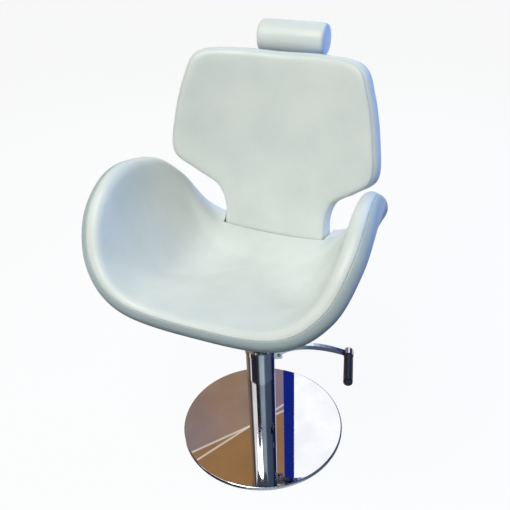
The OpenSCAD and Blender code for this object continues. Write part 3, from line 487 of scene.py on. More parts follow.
def stitches(name: str, points: Sequence[Vector], outs: Sequence[Vector], material: Material) -> Object:
    """Makes a row of sewn stitches along a line.

    Args:
        name: The piece's name.
        points: The line's points, close together.
        outs: The direction away from the surface at each point.
        material: The thread's material.

    Returns:
        The object.
    """
    one = bmesh.new()
    half_length = STITCH_PITCH * STITCH_HALF_SHARE
    shape = Matrix.Diagonal((half_length, STITCH_HALF_WIDTH, STITCH_HALF_HEIGHT, 1))
    bmesh.ops.create_uvsphere(one, u_segments=6, v_segments=4, radius=1.0, matrix=shape)
    bm = bmesh.new()
    walked, nxt = 0.0, STITCH_PITCH / 2
    for a, b, out in zip(points, points[1:], outs):
        step = (b - a).length
        while walked + step > nxt:
            along = (b - a).normalized()
            side = along.cross(out).normalized()
            turn = Matrix((along, side, along.cross(side))).transposed()
            middle = a.lerp(b, (nxt - walked) / step)
            verts = {v: bm.verts.new(middle + turn @ v.co) for v in one.verts}
            for face in one.faces:
                bm.faces.new([verts[v] for v in face.verts])
            nxt += STITCH_PITCH
        walked += step
    one.free()
    return piece_of(name, bm, material)


def inflate(piece: Object, voxel: float, pressure: float, reach: float) -> None:
    """Puffs a cushion up by a cloth simulation, and makes the result part of its mesh.

    Args:
        piece: The closed cushion.
        voxel: Size of the remeshed faces.
        pressure: Pressure inside it.
        reach: How far a point may move.
    """
    remesh = piece.modifiers.new("remesh", "REMESH")
    remesh.mode = "VOXEL"
    remesh.voxel_size = voxel
    settle(piece)
    start = [v.co.copy() for v in piece.data.vertices]
    cloth = piece.modifiers.new("cloth", "CLOTH")
    cloth.settings.use_pressure = True
    cloth.settings.uniform_pressure_force = pressure
    cloth.settings.effector_weights.gravity = 0.0
    scene = bpy.context.scene
    for frame in range(1, CLOTH_FRAMES + 1):
        scene.frame_set(frame)
    puffed = piece.evaluated_get(bpy.context.evaluated_depsgraph_get()).to_mesh()
    moved = [v.co.copy() for v in puffed.vertices]
    piece.modifiers.clear()
    scene.frame_set(1)
    for vert, old, new in zip(piece.data.vertices, start, moved):
        step = new - old
        if step.length > reach:
            step *= reach / step.length
        vert.co = old + step
    smooth = piece.modifiers.new("smooth", "SUBSURF")
    smooth.levels = smooth.render_levels = 1
    settle(piece)
    piece.data.shade_smooth()


@dataclass
class TubSeat:
    """The upholstered tub: its rim runs from the front centre round the wings to the rear centre."""

    width: float = 0.644
    length: float = 0.504
    front: float = 0.338
    low: float = 0.605
    rise: float = 0.278
    half_wall: float = 0.025
    pan_half: float = 0.0045
    flat_z: float = 0.584
    centre_share: float = 0.633
    side_curl: float = 4.5
    end_curl: float = 1.16
    seam_angle: float = 26.0
    seam_drift: float = 19.0
    # Degrees round the edge over which the seam's drift dies out, above it and below it
    drift_reach: Pair = (60, 110)
    steps: int = 312
    normal_step: float = 360 / 52
    unevenness: float = 0.0006
    uneven_scale: float = 14
    uneven_power: int = 6
    even_reach: int = 9
    swell: float = 0.011
    swell_from: float = 0.4
    centre_round: float = 0.1
    pucker: float = 0.00045
    pucker_scale: float = 75
    pucker_angle: float = 22
    lip_out: float = 0.0005
    lip_gap: float = 0.0006
    seam_steps: int = 4
    rim_x: Shares = (0, 0.568, 0.863, 0.984, 0.991, 0.947, 0.892, 0.662, 0)
    rim_y: Shares = (0.018, 0, 0.063, 0.196, 0.409, 0.673, 0.869, 0.98, 1)
    rim_z: Shares = (0.162, 0.255, 0.486, 0.802, 1, 0.909, 0.62, 0.185, 0.029)
    seen_shares: Shares = (
        0.03, 0.07, 0.11, 0.16, 0.21, 0.26, 0.31, 0.36, 0.41, 0.46, 0.51, 0.56, 0.61, 0.655, 0.695, 0.73,
        0.765, 0.795, 0.825, 0.85, 0.875, 0.9, 0.92, 0.94, 0.96, 0.98, 1,
    )  # fmt: skip
    hidden_shares: Shares = (0.1, 0.3, 0.45, 0.6, 0.75, 0.9, 1)
    # Angles round the rim's edge in degrees, either side of the seam's groove
    pad_angles: Shares = (82, 74, 66, 59, 52, 46, 41, 37, 33.5, 31)
    cover_angles: Shares = (21, 18.5, 15, 11, 6, 0, -6, -12, -19, -26, -33, -41, -49, -57, -65, -73, -82)
    # Degrees from the seam, depth into its groove and nearness to it
    groove: Table = ((3.4, 0.0002, 0.1), (2.2, 0.0004, 0.3), (1.2, 0.0008, 0.6), (0.4, 0.0013, 1))

    @property
    def centre(self) -> Vector:
        """Middle of the seat wall, where its rings start."""
        return Vector((0, self.length * self.centre_share - self.front, self.low))

    def rim(self, turn: float) -> Vector:
        """Middle of the wall's rim.

        Args:
            turn: Degrees from the front centre.

        Returns:
            The point.
        """
        turn %= 360
        left = turn > 180
        place = (360 - turn if left else turn) / 180 * (len(self.rim_x) - 1)
        x = self.width / 2 * share_at(self.rim_x, place, -1)
        y = self.length * share_at(self.rim_y, place, 1) - self.front
        return Vector((-x if left else x, y, self.low + self.rise * share_at(self.rim_z, place, 1)))

    def curl(self, turn: float) -> float:
        """How late the wall turns up, as a power of the share of the way to the rim."""
        return self.end_curl + (self.side_curl - self.end_curl) * math.sin(math.radians(turn)) ** 2

    def middle(self, turn: float, share: float) -> Vector:
        """Middle of the wall at a turn and a share of the way to the rim."""
        reach = self.rim(turn) - self.centre
        return self.centre + Vector((reach.x * share, reach.y * share, reach.z * share ** self.curl(turn)))

    def outward(self, turn: float, share: float) -> Vector:
        """Direction in the wall towards the rim."""
        reach, curl = self.rim(turn) - self.centre, self.curl(turn)
        return Vector((reach.x, reach.y, reach.z * curl * share ** (curl - 1))).normalized()

    def normal(self, turn: float, share: float) -> Vector:
        """Direction out of the wall, towards the sitter."""
        along = self.middle(turn + self.normal_step, share) - self.middle(turn - self.normal_step, share)
        return self.outward(turn, share).cross(along).normalized()

    def ring(self, at: Callable[[float], Vector]) -> Ring:
        """Points of a function of the turn, all the way round."""
        return [at(360 * i / self.steps) for i in range(self.steps)]

    def skin(self, share: float, off: float) -> Ring:
        """Ring of a skin at a share of the way to the rim, at a distance out of the wall's middle."""
        return self.ring(lambda turn: self.middle(turn, share) + off * self.normal(turn, share))

    def foam(self, share: float, side: int) -> Ring:
        """Ring of the foam's skin, rounded at the seat's middle and swelling towards the wings' edge.

        Args:
            share: The share of the way to the rim.
            side: 1 for the sitter's side or -1 for the outer side.

        Returns:
            The ring.
        """
        bend = self.centre_round
        rounded = (math.hypot(share, bend) - bend) / (math.hypot(1, bend) - bend)
        grown = max(share - self.swell_from, 0) / (1 - self.swell_from)
        growth = grown * grown * (3 - 2 * grown) if side > 0 else 0.0

        def at(turn: float) -> Vector:
            """Point of the ring before it is evened out."""
            place = self.middle(turn, share)
            place.z = self.centre.z + (self.rim(turn).z - self.centre.z) * rounded ** self.curl(turn)
            fade = 1 - share**self.uneven_power
            rise = self.unevenness * noise.noise(place * self.uneven_scale) * fade
            thick = self.half_wall + rise + self.wing_swell(turn) * growth
            return place + side * thick * self.normal(turn, share)

        return self.soften(self.ring(at), round(self.even_reach * (1 - share)))

    def soften(self, ring: Ring, reach: int) -> Ring:
        """Evens a ring out, as foam does, by averaging each point with its neighbours.

        Args:
            ring: The ring.
            reach: How many neighbours on each side count.

        Returns:
            The even ring.
        """
        count = len(ring)
        near = range(-reach, reach + 1)
        return [sum((ring[(i + k) % count] for k in near), Vector()) / len(near) for i in range(count)]

    def wing_swell(self, turn: float) -> float:
        """Extra thickness of the foam at a turn: most on the wings."""
        return self.swell * math.sin(math.radians(turn)) ** 2

    def drifted(self, turn: float, angle: float) -> float:
        """Moves an angle round the rim's edge with the seam, which runs further out on the wings.

        Args:
            turn: Degrees from the front centre.
            angle: The angle before it is moved.

        Returns:
            The moved angle.
        """
        above, below = self.drift_reach
        reach = above if angle > self.seam_angle else below
        near = max(0.0, 1 - ((angle - self.seam_angle) / reach) ** 2)
        return angle - self.seam_drift * near * math.sin(math.radians(turn)) ** 2

    def edge_point(self, turn: float, angle: float, radius: float) -> Vector:
        """Point round the rim's rounded edge.

        Args:
            turn: Degrees from the front centre.
            angle: Degrees from the outward direction.
            radius: Distance from the rim's middle.

        Returns:
            The point.
        """
        lean = math.radians(self.drifted(turn, angle))
        way = math.sin(lean) * self.normal(turn, 1) + math.cos(lean) * self.outward(turn, 1)
        return self.rim(turn) + radius * way

    def edge(self, angle: float, inset: float) -> Ring:
        """Ring round the rim's rounded edge, with the puckers that the seam pulls.

        Args:
            angle: Angle from the outward direction, in degrees.
            inset: Depth into the seam's groove.

        Returns:
            The ring.
        """
        near = max(0.0, 1 - abs(angle - self.seam_angle) / self.pucker_angle)
        past = max(0.0, (angle - self.seam_angle) / (90 - self.seam_angle))
        lift = math.sin(past * math.pi / 2)

        def at(turn: float) -> Vector:
            """Point of the ring at a turn."""
            pucker = self.pucker * near * noise.noise(self.rim(turn) * self.pucker_scale)
            radius = self.half_wall - inset + pucker + self.wing_swell(turn) * lift
            return self.edge_point(turn, angle, radius)

        return self.ring(at)

    def lip(self, off: float) -> Ring:
        """Ring just past the plywood shell's edge, at a distance out of the wall's middle."""
        out = self.lip_out
        return self.ring(
            lambda turn: self.rim(turn) + out * self.outward(turn, 1) + off * self.normal(turn, 1)
        )

    def pad(self, material: Material) -> Object:
        """Makes the upholstery that the sitter sees.

        Args:
            material: Its vinyl.

        Returns:
            The pad.
        """
        rings = [self.foam(s, 1) for s in self.seen_shares]
        rings += [self.edge(angle, 0) for angle in self.pad_angles]
        seams = [0.0] * len(rings) + [near for _, _, near in self.groove]
        rings += [self.edge(self.seam_angle + off, inset) for off, inset, _ in self.groove]
        rings += [self.skin(s, self.pan_half) for s in reversed(self.hidden_shares)]
        seams += [0.0] * len(self.hidden_shares)
        up = Vector((0, 0, 1))
        poles = (self.centre + self.half_wall * up, self.centre + self.pan_half * up)
        return loft("seat_upholstery", rings, seams, poles, material)

    def cover(self, material: Material) -> Object:
        """Makes the outer cover, flat where it lies on the seat plate.

        Args:
            material: Its vinyl.

        Returns:
            The cover.
        """
        rings = [self.skin(s, -self.pan_half) for s in self.hidden_shares]
        rings += [self.lip(-self.pan_half), self.lip(self.pan_half - self.lip_gap)]
        first, groove = len(rings), self.groove[::-1]
        rings += [self.edge(self.seam_angle - off, inset) for off, inset, _ in groove]
        rings += [self.edge(angle, 0) for angle in self.cover_angles]
        rings += [self.foam(s, -1) for s in reversed(self.seen_shares)]
        seams = [0.0] * first + [near for _, _, near in groove]
        seams += [0.0] * (len(rings) - len(seams))
        for ring in rings[first:]:
            for point in ring:
                point.z = max(point.z, self.flat_z)
        poles = (self.centre - Vector((0, 0, self.pan_half)), Vector((0, self.centre.y, self.flat_z)))
        return loft("seat_outer_cover", rings, seams, poles, material)

    def seam(self, material: Material, skip: Callable[[Vector], bool]) -> Object:
        """Makes the stitches in the groove between the two skins.

        Args:
            material: The thread's material.
            skip: Tells where the back's neck takes the rim's place.

        Returns:
            The stitches.
        """
        turns = [i / self.seam_steps for i in range(self.seam_steps * 360)]
        first = next(i for i, turn in enumerate(turns) if turn > 180 and not skip(self.rim(turn)))
        turns = [turn for turn in turns[first:] + turns[:first] if not skip(self.rim(turn))]
        radius = self.half_wall - STITCH_SINK
        points = [self.edge_point(turn, self.seam_angle, radius) for turn in turns]
        outs = [(self.edge_point(turn, self.seam_angle, 1.0) - self.rim(turn)) for turn in turns]
        return stitches("seat_seam_stitches", points, outs, material)


@dataclass
class ShieldBack:
    """The back: u runs across, h up along the lean, and w forward from the seam."""

    width: float = 0.542
    height: float = 0.477
    lean: float = 5.8
    origin: Place = (0, 0.1476, 0.6523)
    hollow: float = 0.5
    edge: float = 0.006
    crown: float = 0.005
    rear: float = 0.032
    board: float = 0.012
    centre_share: float = 0.48
    span_steps: int = 9
    unevenness: float = 0.0005
    uneven_scale: float = 13
    # Third coordinate of the noise
    uneven_slice: float = 3.0
    board_gap: float = 0.0003
    # The row of stitches starts at the foot, between these heights
    seam_from: float = -0.01
    foot_top: float = 0.1
    seam_rise: float = 0.0002
    seam_steps: int = 3
    # Room for the neck in the tub, and the ends of its cutter
    neck_play: float = 0.0005
    side_play: float = 0.001
    face_play: float = 0.002
    cutter_steps: int = 10
    cutter_back: float = 0.13
    cutter_low: float = -0.14
    cutter_high: float = 0.1
    # Reach of the tub's rim without stitches, beside and before the neck
    bare_side: float = 0.012
    bare_front: float = 0.03
    foot_shares: Shares = (0, 0.2, 0.4, 0.6, 0.78, 0.93)
    outline_u: Shares = (0.55, 0.542, 0.539, 0.613, 0.812, 1, 0.981, 0.893, 0.764, 0.406, 0)
    outline_h: Shares = (-0.08, 0, 0.119, 0.233, 0.323, 0.432, 0.627, 0.845, 0.981, 1, 0.992)
    # Share of the outline, share of the foam's full rise and nearness to the seam
    front_rings: Table = (
        (0.08, 1, 0), (0.16, 1, 0), (0.24, 1, 0), (0.32, 1, 0), (0.4, 1, 0), (0.48, 1, 0), (0.55, 1, 0),
        (0.62, 0.998, 0), (0.68, 0.994, 0), (0.74, 0.987, 0), (0.79, 0.975, 0), (0.83, 0.96, 0),
        (0.865, 0.94, 0), (0.895, 0.91, 0), (0.92, 0.87, 0), (0.94, 0.82, 0), (0.956, 0.755, 0),
        (0.969, 0.67, 0), (0.979, 0.57, 0), (0.987, 0.455, 0), (0.9925, 0.34, 0),
        (0.9958, 0.23, 0), (0.997, 0.12, 0.1), (0.9968, 0.03, 0.4),
    )  # fmt: skip
    # Share of the outline, depth behind the seam and bulge; the first two lie near the seam
    cover_rings: Table = (
        (0.9968, 0.0004, 0), (0.9983, 0.0009, 0.0001), (0.9995, 0.0018, 0.0005), (1, 0.0032, 0.0011),
        (1, 0.005, 0.0018), (1, 0.0072, 0.0025), (1, 0.01, 0.003), (1, 0.0132, 0.0032),
        (1, 0.0165, 0.0031), (1, 0.0198, 0.0028), (1, 0.0228, 0.0021), (1, 0.0254, 0.0011),
        (0.999, 0.0276, 0), (0.9945, 0.0294, 0), (0.988, 0.0308, 0), (0.979, 0.0317, 0),
    )  # fmt: skip
    cover_nearness: Pair = (0.4, 0.1)
    rear_shares: Shares = (0.965, 0.93, 0.85, 0.75, 0.6, 0.45, 0.3, 0.15)
    board_shares: Shares = (0.35, 0.7, 0.93)

    @property
    def place(self) -> Matrix:
        """The matrix from the back's own frame to the row frame."""
        return Matrix.Translation(self.origin) @ Matrix.Rotation(-math.radians(self.lean), 4, "X")

    @property
    def neck_half(self) -> float:
        """Half width of the neck at its foot."""
        return self.width / 2 * self.outline_u[0]

    def point(self, u: float, h: float, w: float) -> Vector:
        """Point of the back in the row frame.

        Args:
            u: Place across the back.
            h: Height along its lean.
            w: Distance forward of the seam.

        Returns:
            The point.
        """
        turn = math.atan(u / self.hollow)
        dip = u * u / (2 * self.hollow)
        return self.place @ Vector((u - w * math.sin(turn), -dip - w * math.cos(turn), h))

    def outline(self) -> list[Vector]:
        """Works out the outline of the back.

        Returns:
            Its points, from the middle of the foot up the right side and down the left.
        """
        spans = len(self.outline_u) - 1
        us, hs = self.outline_u, self.outline_h
        right = [Vector((us[0] * share, hs[0])) for share in self.foot_shares]
        for k in range(1, self.span_steps * spans + 1):
            s = k / self.span_steps
            if s < 1:
                right.append(Vector((us[0] + (us[1] - us[0]) * s, hs[0] + (hs[1] - hs[0]) * s)))
            else:
                right.append(Vector((share_at(us, s, -1), share_at(hs, s, 1))))
        left = [Vector((-p.x, p.y)) for p in reversed(right[1:-1])]
        return [Vector((p.x * self.width / 2, p.y * self.height)) for p in right + left]

    def ring(self, share: float, w: float, bulge: float = 0.0) -> Ring:
        """Ring of the outline drawn in to a share of its size.

        Args:
            share: The share of its size.
            w: Distance forward of the seam.
            bulge: Distance that it is moved out.

        Returns:
            The ring in the row frame.
        """
        middle = Vector((0, self.height * self.centre_share))
        made = []
        for p in self.outline():
            q = middle + share * (p - middle) + bulge * (p - middle).normalized()
            spot = Vector((q.x, q.y, self.uneven_slice)) * self.uneven_scale
            soft = self.unevenness * noise.noise(spot) if w > 0 else 0.0
            made.append(self.point(q.x, q.y, w + soft))
        return made

    def pole(self, w: float) -> Vector:
        """Middle of the back at a depth."""
        return self.point(0, self.height * self.centre_share, w)

    def pad(self, material: Material) -> Object:
        """Makes the crowned front upholstery.

        Args:
            material: Its vinyl.

        Returns:
            The pad.
        """
        full = self.edge + self.crown
        rings = [self.ring(share, rise * full) for share, rise, _ in self.front_rings]
        rings += [self.ring(share, 0) for share in reversed(self.board_shares)]
        seams = [near for _, _, near in self.front_rings] + [0.0] * len(self.board_shares)
        return loft("back_upholstery", rings, seams, (self.pole(full), self.pole(0)), material)

    def cover(self, material: Material) -> Object:
        """Makes the side band and the rear cover, hollow where the plywood board sits.

        Args:
            material: Its vinyl.

        Returns:
            The cover.
        """
        gap = self.board_gap
        inner = -self.board - 2 * gap
        last = self.board_shares[-1]
        rings = [self.ring(s, inner, gap if s == last else 0) for s in self.board_shares]
        rings.append(self.ring(last, -gap, gap))
        seams = [0.0] * len(rings) + list(self.cover_nearness)
        rings += [self.ring(share, -depth, bulge) for share, depth, bulge in self.cover_rings]
        rings += [self.ring(share, -self.rear) for share in self.rear_shares]
        seams += [0.0] * (len(rings) - len(seams))
        return loft("back_cover_shell", rings, seams, (self.pole(inner), self.pole(-self.rear)), material)

    def seam(self, material: Material) -> Object:
        """Makes the stitches round the back's edge, above the neck's foot.

        Args:
            material: The thread's material.

        Returns:
            The stitches.
        """
        seen = [p for p in self.outline() if p.y > self.seam_from]
        crossings = (i for i in range(len(seen)) if seen[i - 1].x < 0 < seen[i].x)
        turn = next(i for i in crossings if seen[i].y < self.foot_top)
        seen = seen[turn:] + seen[:turn]
        line = [self.point(p.x, p.y, self.seam_rise) for p in seen]
        middle = self.pole(0)
        outs = [(p - middle).normalized() for p in line]
        fine: list[Vector] = []
        ways: list[Vector] = []
        for a, b, out in zip(line, line[1:], outs):
            for step in range(self.seam_steps):
                fine.append(a.lerp(b, step / self.seam_steps) - STITCH_SINK * out)
                ways.append(out)
        return stitches("back_seam_stitches", fine, ways, material)

    def neck_cutter(self) -> Object:
        """Makes the shape that the neck needs free in the tub's rear.

        Returns:
            The cutter.
        """
        half = self.neck_half + self.neck_play
        face = self.edge + self.crown + self.face_play
        side = half + self.side_play
        flare = self.rear * side / self.hollow
        dip = side * side / (2 * self.hollow)
        count = self.cutter_steps
        front = [half * step / count for step in range(-count, count + 1)]
        outline = [Vector((u, -u * u / (2 * self.hollow) - face)) for u in front]
        behind = [(side, -dip), (side + flare, self.rear - dip), (side + flare, self.cutter_back)]
        outline += [Vector(p) for p in behind] + [Vector((-x, y)) for x, y in reversed(behind)]
        return prism("neck_cutter", outline, self.cutter_low, self.cutter_high, self.place)

    def in_neck(self, place: Vector) -> bool:
        """Tells whether a point of the tub's rim lies where the neck goes through it."""
        local = self.place.inverted() @ place
        return abs(local.x) < self.neck_half + self.bare_side and local.y > -self.bare_front


@dataclass
class RollHeadrest:
    """The headrest's roll, on the back's frame."""

    radius: float = 0.044
    half: float = 0.095
    behind: float = 0.093
    above: float = 0.022
    edge_radius: float = 0.009
    dome: float = 0.003
    crown: float = 0.0015
    swell: float = 0.0012
    bar_slot: Pair = (0.0153, 0.0033)
    slot_depth: float = 0.06
    face_shares: Shares = (0, 0.25, 0.5, 0.75)
    side_shares: Shares = (0.75, 0.6, 0.45, 0.3, 0.1)
    edge_step: int = 10
    segments: int = 96
    weld: float = 0.00002
    voxel: float = 0.004
    pressure: float = 4.0

    def profile(self) -> list[Pair]:
        """Works out the roll's profile before it is puffed up.

        Returns:
            Places along the roll and their radii, from one end to the other.
        """
        side = self.radius - self.crown - self.swell
        half = self.half - self.swell
        face = side - self.edge_radius
        points = [(half - self.dome * share**2, face * share) for share in self.face_shares]
        for degrees in range(0, 91, self.edge_step):
            turn = math.radians(degrees)
            x = half - self.dome - self.edge_radius * (1 - math.cos(turn))
            points.append((x, face + self.edge_radius * math.sin(turn)))
        for share in self.side_shares:
            points.append((half * share, side + self.crown * (1 - share**2)))
        return points + [(-x, r) for x, r in reversed(points)]

    def build(self, back: ShieldBack, material: Material) -> Object:
        """Spins the roll's profile, puffs it up and cuts the way in for its bar.

        Args:
            back: The back that carries it.
            material: Its vinyl.

        Returns:
            The roll.
        """
        place = back.place @ Matrix.Translation((0, self.behind, back.height + self.above))
        bm = bmesh.new()
        verts = [bm.verts.new((x, 0, r)) for x, r in self.profile()]
        edges = [bm.edges.new(pair) for pair in zip(verts, verts[1:])]
        bmesh.ops.spin(
            bm, geom=verts + edges, axis=(1, 0, 0), angle=math.tau, steps=self.segments, use_merge=True
        )
        bmesh.ops.remove_doubles(bm, verts=bm.verts, dist=self.weld)
        bmesh.ops.transform(bm, matrix=place, verts=bm.verts)
        roll = piece_of("headrest_roll", bm, material)
        inflate(roll, self.voxel, self.pressure, self.swell)
        wide, deep = self.bar_slot
        slot = [Vector((x * wide, y * deep)) for x, y in ((-1, -1), (1, -1), (1, 1), (-1, 1))]
        cut(roll, prism("bar_cutter", slot, -self.slot_depth, 0.0, place))
        return roll


@dataclass(frozen=True)
class Studio:
    """A pale floor, soft lamps and the camera at the photograph's angle."""

    camera_place: Place = (0.5816, -1.32054, 1.59022)
    pitch: float = 33.16
    roll: float = -2.23
    heading: float = 23.93
    focal_pixels: float = 650
    photo_pixels: float = 510
    sensor: float = 36.0
    # Where the lamps look
    aim: Place = (0, 0, 0.65)
    floor_colour: str = "#84888E"
    floor_half: float = 30.0
    floor_drop: float = 0.0004
    # Grey that the shadow falls on, and the share of plain white over it in a view
    shadow_colour: Colour = (0.9, 0.9, 0.9, 1.0)
    white_share: float = 0.92
    soft_colour: str = "#E6F4FF"
    soft_strength: float = 0.2
    # Strength of the room that chrome mirrors
    mirrored_strength: float = 1.42
    # Name, place, power in watts, side of the square and colour of each lamp
    lamps: tuple[tuple[str, Place, float, float, str], ...] = (
        ("top_front", (-0.25, -1.6, 3.2), 67.0, 1.6, "#FAFFF8"),
        ("left_front", (-1.3, -1.8, 2.7), 9.0, 1.4, "#FFF8F0"),
        ("right_side", (2.5, 1.3, 1.25), 40.0, 1.2, "#208AFF"),
        ("rear_top", (1.3, 1.8, 2.7), 22.0, 1.4, "#7CC0FF"),
        ("rear_fill", (-1.2, 2.4, 1.9), 16.0, 1.4, "#FFFFFF"),
    )  # fmt: skip
    # Direction in degrees from +X, and the colour that chrome mirrors there
    bands: tuple[tuple[float, str], ...] = (
        (-180, "#62544B"), (-158, "#4F453C"), (-151, "#B9B2A9"), (-146, "#FFFFFF"), (-140, "#2B2730"),
        (-100, "#24222B"), (-84, "#32363F"), (-72, "#98A8B0"), (-45, "#A8B4BA"), (-34, "#4F5B6C"),
        (15, "#4A566A"), (34, "#171E3C"), (76, "#1A2859"), (86, "#9CA6C5"), (92, "#F4F6FF"),
        (111, "#85708A"), (114, "#887573"), (117, "#957D69"), (120, "#8E7870"), (124, "#827576"),
        (140, "#887570"), (160, "#826E60"),
    )  # fmt: skip
    # Distance over the floor from the column where each of its greys in the chrome begins and is full
    floor_zones: tuple[tuple[float, float, str], ...] = ((0.38, 0.62, "#4B4F56"), (1.0, 1.6, "#D8D8D8"))
    # Way out of the plane of each pale batten on the wall; the first also ends the golden boards above it
    battens: Table = ((0.6139, -0.4775, 0.6286), (0.7114, -0.3831, 0.5892))
    batten_colour: str = "#FFF4E8"
    batten_share: float = 0.5
    batten_span: Pair = (0.0006, 0.0019)
    board_colour: str = "#946A38"
    board_share: float = 0.75
    board_fade: float = 0.002
    mottle_colour: str = "#96704B"
    mottle_share: float = 0.35
    mottle_span: Pair = (0.4, 0.6)
    mottle_scale: float = 9.0
    mottle_detail: float = 2.0
    wall_from: float = 111.1
    # Middle and half width in degrees from +X, and the colour, of each strip with a sharp edge
    strips: tuple[tuple[float, float, str], ...] = ((101.4, 8.4, "#FFFFFF"), (110.45, 0.65, "#14237A"))

    def camera(self) -> None:
        """Makes the camera."""
        turned = Matrix.Translation(self.camera_place)
        for degrees, axis in ((self.heading, "Z"), (90 - self.pitch, "X"), (self.roll, "Z")):
            turned @= Matrix.Rotation(math.radians(degrees), 4, axis)
        data = bpy.data.cameras.new("camera")
        data.lens = self.focal_pixels / self.photo_pixels * self.sensor
        data.sensor_width = self.sensor
        data.sensor_fit = "HORIZONTAL"
        made = bpy.data.objects.new("camera", data)
        made.matrix_world = turned
        bpy.context.scene.collection.objects.link(made)
        bpy.context.scene.camera = made

    def room(self, tree: Tree, way: Socket) -> tuple[Socket, Socket, Socket]:
        """Colours of the room that chrome mirrors, by the direction from the chair.

        Args:
            tree: The node tree that gets the nodes.
            way: The direction.

        Returns:
            The sockets with the colour, the turn from +X in radians and the direction's length.
        """
        parts = add(tree, "ShaderNodeSeparateXYZ", {0: way}).outputs
        turn = combine(tree, "ARCTAN2", parts["Y"], parts["X"])
        ramp = add(tree, "ShaderNodeValToRGB", {0: remap(tree, turn, (-math.pi, math.pi))})
        elements = ramp.color_ramp.elements
        while len(elements) < len(self.bands):
            elements.new(0.5)
        for element, (degrees, colour) in zip(elements, self.bands):
            element.position = (degrees + 180) / 360
            element.color = linear(colour)
        length = add(tree, "ShaderNodeVectorMath", {0: way}, operation="LENGTH")
        return ramp.outputs["Color"], turn, length.outputs["Value"]

    def floor(self) -> None:
        """Makes the pale floor, which keeps a soft shadow in a white view and looks grey in the chrome."""
        material = bpy.data.materials.new("studio_floor")
        tree = empty_tree(material)
        path = add(tree, "ShaderNodeLightPath").outputs
        seen = combine(tree, "MAXIMUM", path["Is Camera Ray"], path["Is Transmission Ray"])
        room, _, far = self.room(tree, add(tree, "ShaderNodeTexCoord").outputs["Object"])
        for start, end, colour in self.floor_zones:
            room = blend(tree, remap(tree, far, (start, end)), room, linear(colour))
        strength = self.mirrored_strength
        mirrored = add(tree, "ShaderNodeEmission", {"Color": room, "Strength": strength}).outputs[0]
        white = add(tree, "ShaderNodeEmission", {"Color": WHITE, "Strength": 1.0}).outputs[0]
        shade = add(tree, "ShaderNodeBsdfDiffuse", {"Color": self.shadow_colour}).outputs[0]
        pale = add(tree, "ShaderNodeBsdfDiffuse", {"Color": linear(self.floor_colour)}).outputs[0]
        plain = mix_shaders(tree, seen, pale, mix_shaders(tree, self.white_share, shade, white))
        mixed = mix_shaders(tree, path["Is Glossy Ray"], plain, mirrored)
        add(tree, "ShaderNodeOutputMaterial", {"Surface": mixed})
        bm = bmesh.new()
        bmesh.ops.create_grid(bm, x_segments=1, y_segments=1, size=self.floor_half)
        bmesh.ops.translate(bm, verts=bm.verts, vec=(0, 0, -self.floor_drop))
        piece_of("studio_floor", bm, material)

    def wall_marks(self, tree: Tree, way: Socket) -> list[tuple[Socket, str]]:
        """Mottle, boards and battens of the wall that chrome mirrors.

        Args:
            tree: The world's node tree.
            way: The direction from the chair.

        Returns:
            The share and the colour of each, in the order in which they are laid on.
        """
        mottle = clouds(tree, way, self.mottle_scale, self.mottle_detail)
        marks = [(remap(tree, mottle, self.mottle_span, (0.0, self.mottle_share)), self.mottle_colour)]
        for slope in self.battens:
            dot = add(tree, "ShaderNodeVectorMath", {0: way, 1: slope}, operation="DOT_PRODUCT")
            off = dot.outputs["Value"]
            if slope == self.battens[0]:
                above = remap(tree, off, (0.0, self.board_fade), (0.0, self.board_share))
                marks.append((above, self.board_colour))
            near = remap(tree, combine(tree, "ABSOLUTE", off), self.batten_span, (self.batten_share, 0.0))
            marks.append((near, self.batten_colour))
        return marks

    def world(self) -> None:
        """Lights the room: soft all round, white to the camera, and with the walls that chrome mirrors."""
        world = bpy.data.worlds.new("studio")
        bpy.context.scene.world = world
        tree = empty_tree(world)
        path = add(tree, "ShaderNodeLightPath").outputs
        way = add(tree, "ShaderNodeTexCoord").outputs["Generated"]
        room, turn, _ = self.room(tree, way)
        for middle, half, colour in self.strips:
            inside = combine(tree, "COMPARE", turn, math.radians(middle), math.radians(half))
            room = blend(tree, inside, room, linear(colour))
        wall = combine(tree, "GREATER_THAN", turn, math.radians(self.wall_from))
        for share, colour in self.wall_marks(tree, way):
            room = blend(tree, combine(tree, "MULTIPLY", share, wall), room, linear(colour))
        mirrored, soft, white = (
            add(tree, "ShaderNodeBackground", {"Color": colour, "Strength": strength}).outputs[0]
            for colour, strength in (
                (room, self.mirrored_strength),
                (linear(self.soft_colour), self.soft_strength),
                (WHITE, 1.0),
            )
        )
        unlit = mix_shaders(tree, path["Is Glossy Ray"], soft, mirrored)
        shown = mix_shaders(tree, path["Is Camera Ray"], unlit, white)
        add(tree, "ShaderNodeOutputWorld", {"Surface": shown})

    def lamp(self, name: str, place: Vector, power: float, size: float, colour: str) -> None:
        """Makes a soft square lamp that looks at the seat.

        Args:
            name: The lamp's name.
            place: Where it hangs.
            power: Its power in watts.
            size: The side of its square.
            colour: Its colour.
        """
        data = bpy.data.lights.new(name, "AREA")
        data.energy = power
        data.size = size
        data.color = linear(colour)[:3]
        made = bpy.data.objects.new(name, data)
        aim = (Vector(self.aim) - place).to_track_quat("-Z", "Y")
        made.matrix_world = Matrix.Translation(place) @ aim.to_matrix().to_4x4()
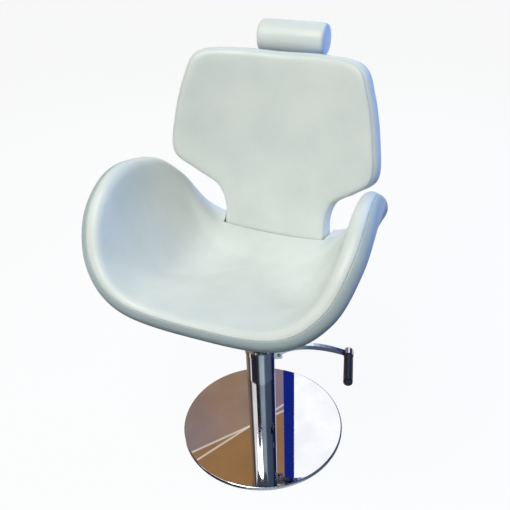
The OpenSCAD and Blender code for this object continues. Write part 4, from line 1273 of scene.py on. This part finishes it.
        # Chrome mirrors the room and not the lamps behind the chair
        made.visible_glossy = place.y < 0
        bpy.context.scene.collection.objects.link(made)

    def build(self) -> None:
        """Makes everything round the chair."""
        self.camera()
        self.floor()
        self.world()
        for name, place, power, size, colour in self.lamps:
            self.lamp(name, Vector(place), power, size, colour)
        bpy.context.scene.view_settings.view_transform = "Standard"


def dress_nodes(frame: dict, made: dict[str, Material]) -> None:
    """Gives each node of the frame the finish of its material slot.

    Args:
        frame: The loaded frame.
        made: The materials by slot.
    """
    own = {name: finish.build() for name, finish in NODE_FINISHES.items()}
    for row in frame["record"]["subparts"]:
        node = frame["nodes"][row["node"]]
        material = own.get(row["node"], made[row["material_slot"]])
        if not node.material_slots:
            node.data.materials.append(material)
        for place in node.material_slots:
            place.material = material


def main() -> None:
    """Builds the looks on the frame and reports each piece."""
    logging.basicConfig(level=logging.INFO, format="%(message)s")
    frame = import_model()
    made = {slot: finish.build() for slot, finish in SLOT_FINISHES.items()}
    vinyl, thread = made["white_vinyl"], THREAD.build()
    Studio().build()
    dress_nodes(frame, made)

    tub, back, headrest = TubSeat(), ShieldBack(), RollHeadrest()
    seat_pad, seat_cover = tub.pad(vinyl), tub.cover(SHADED_COVER_VINYL.build())
    for piece in (seat_pad, seat_cover):
        cut(piece, back.neck_cutter())
    back_pad, back_cover = back.pad(vinyl), back.cover(vinyl)
    roll = headrest.build(back, vinyl)

    rows = (
        (seat_pad, "seat", "tub_pad", 0.85),
        (seat_cover, "seat", "tub_cover", 0.95),
        (back_pad, "back", "back_pad", 0.85),
        (back_cover, "back", "back_cover", 0.95),
        (roll, "headrest", "headrest_pad", 0.95),
    )
    for piece, body, node, fill in rows:
        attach(piece, body)
        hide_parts(node)
        LOG.info("%s stands for %s: %d faces", piece.name, node, len(piece.data.polygons))
    for piece, body in ((tub.seam(thread, back.in_neck), "seat"), (back.seam(thread), "back")):
        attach(piece, body)
        LOG.info("%s: %d faces", piece.name, len(piece.data.polygons))


if __name__ == "__main__":
    main()
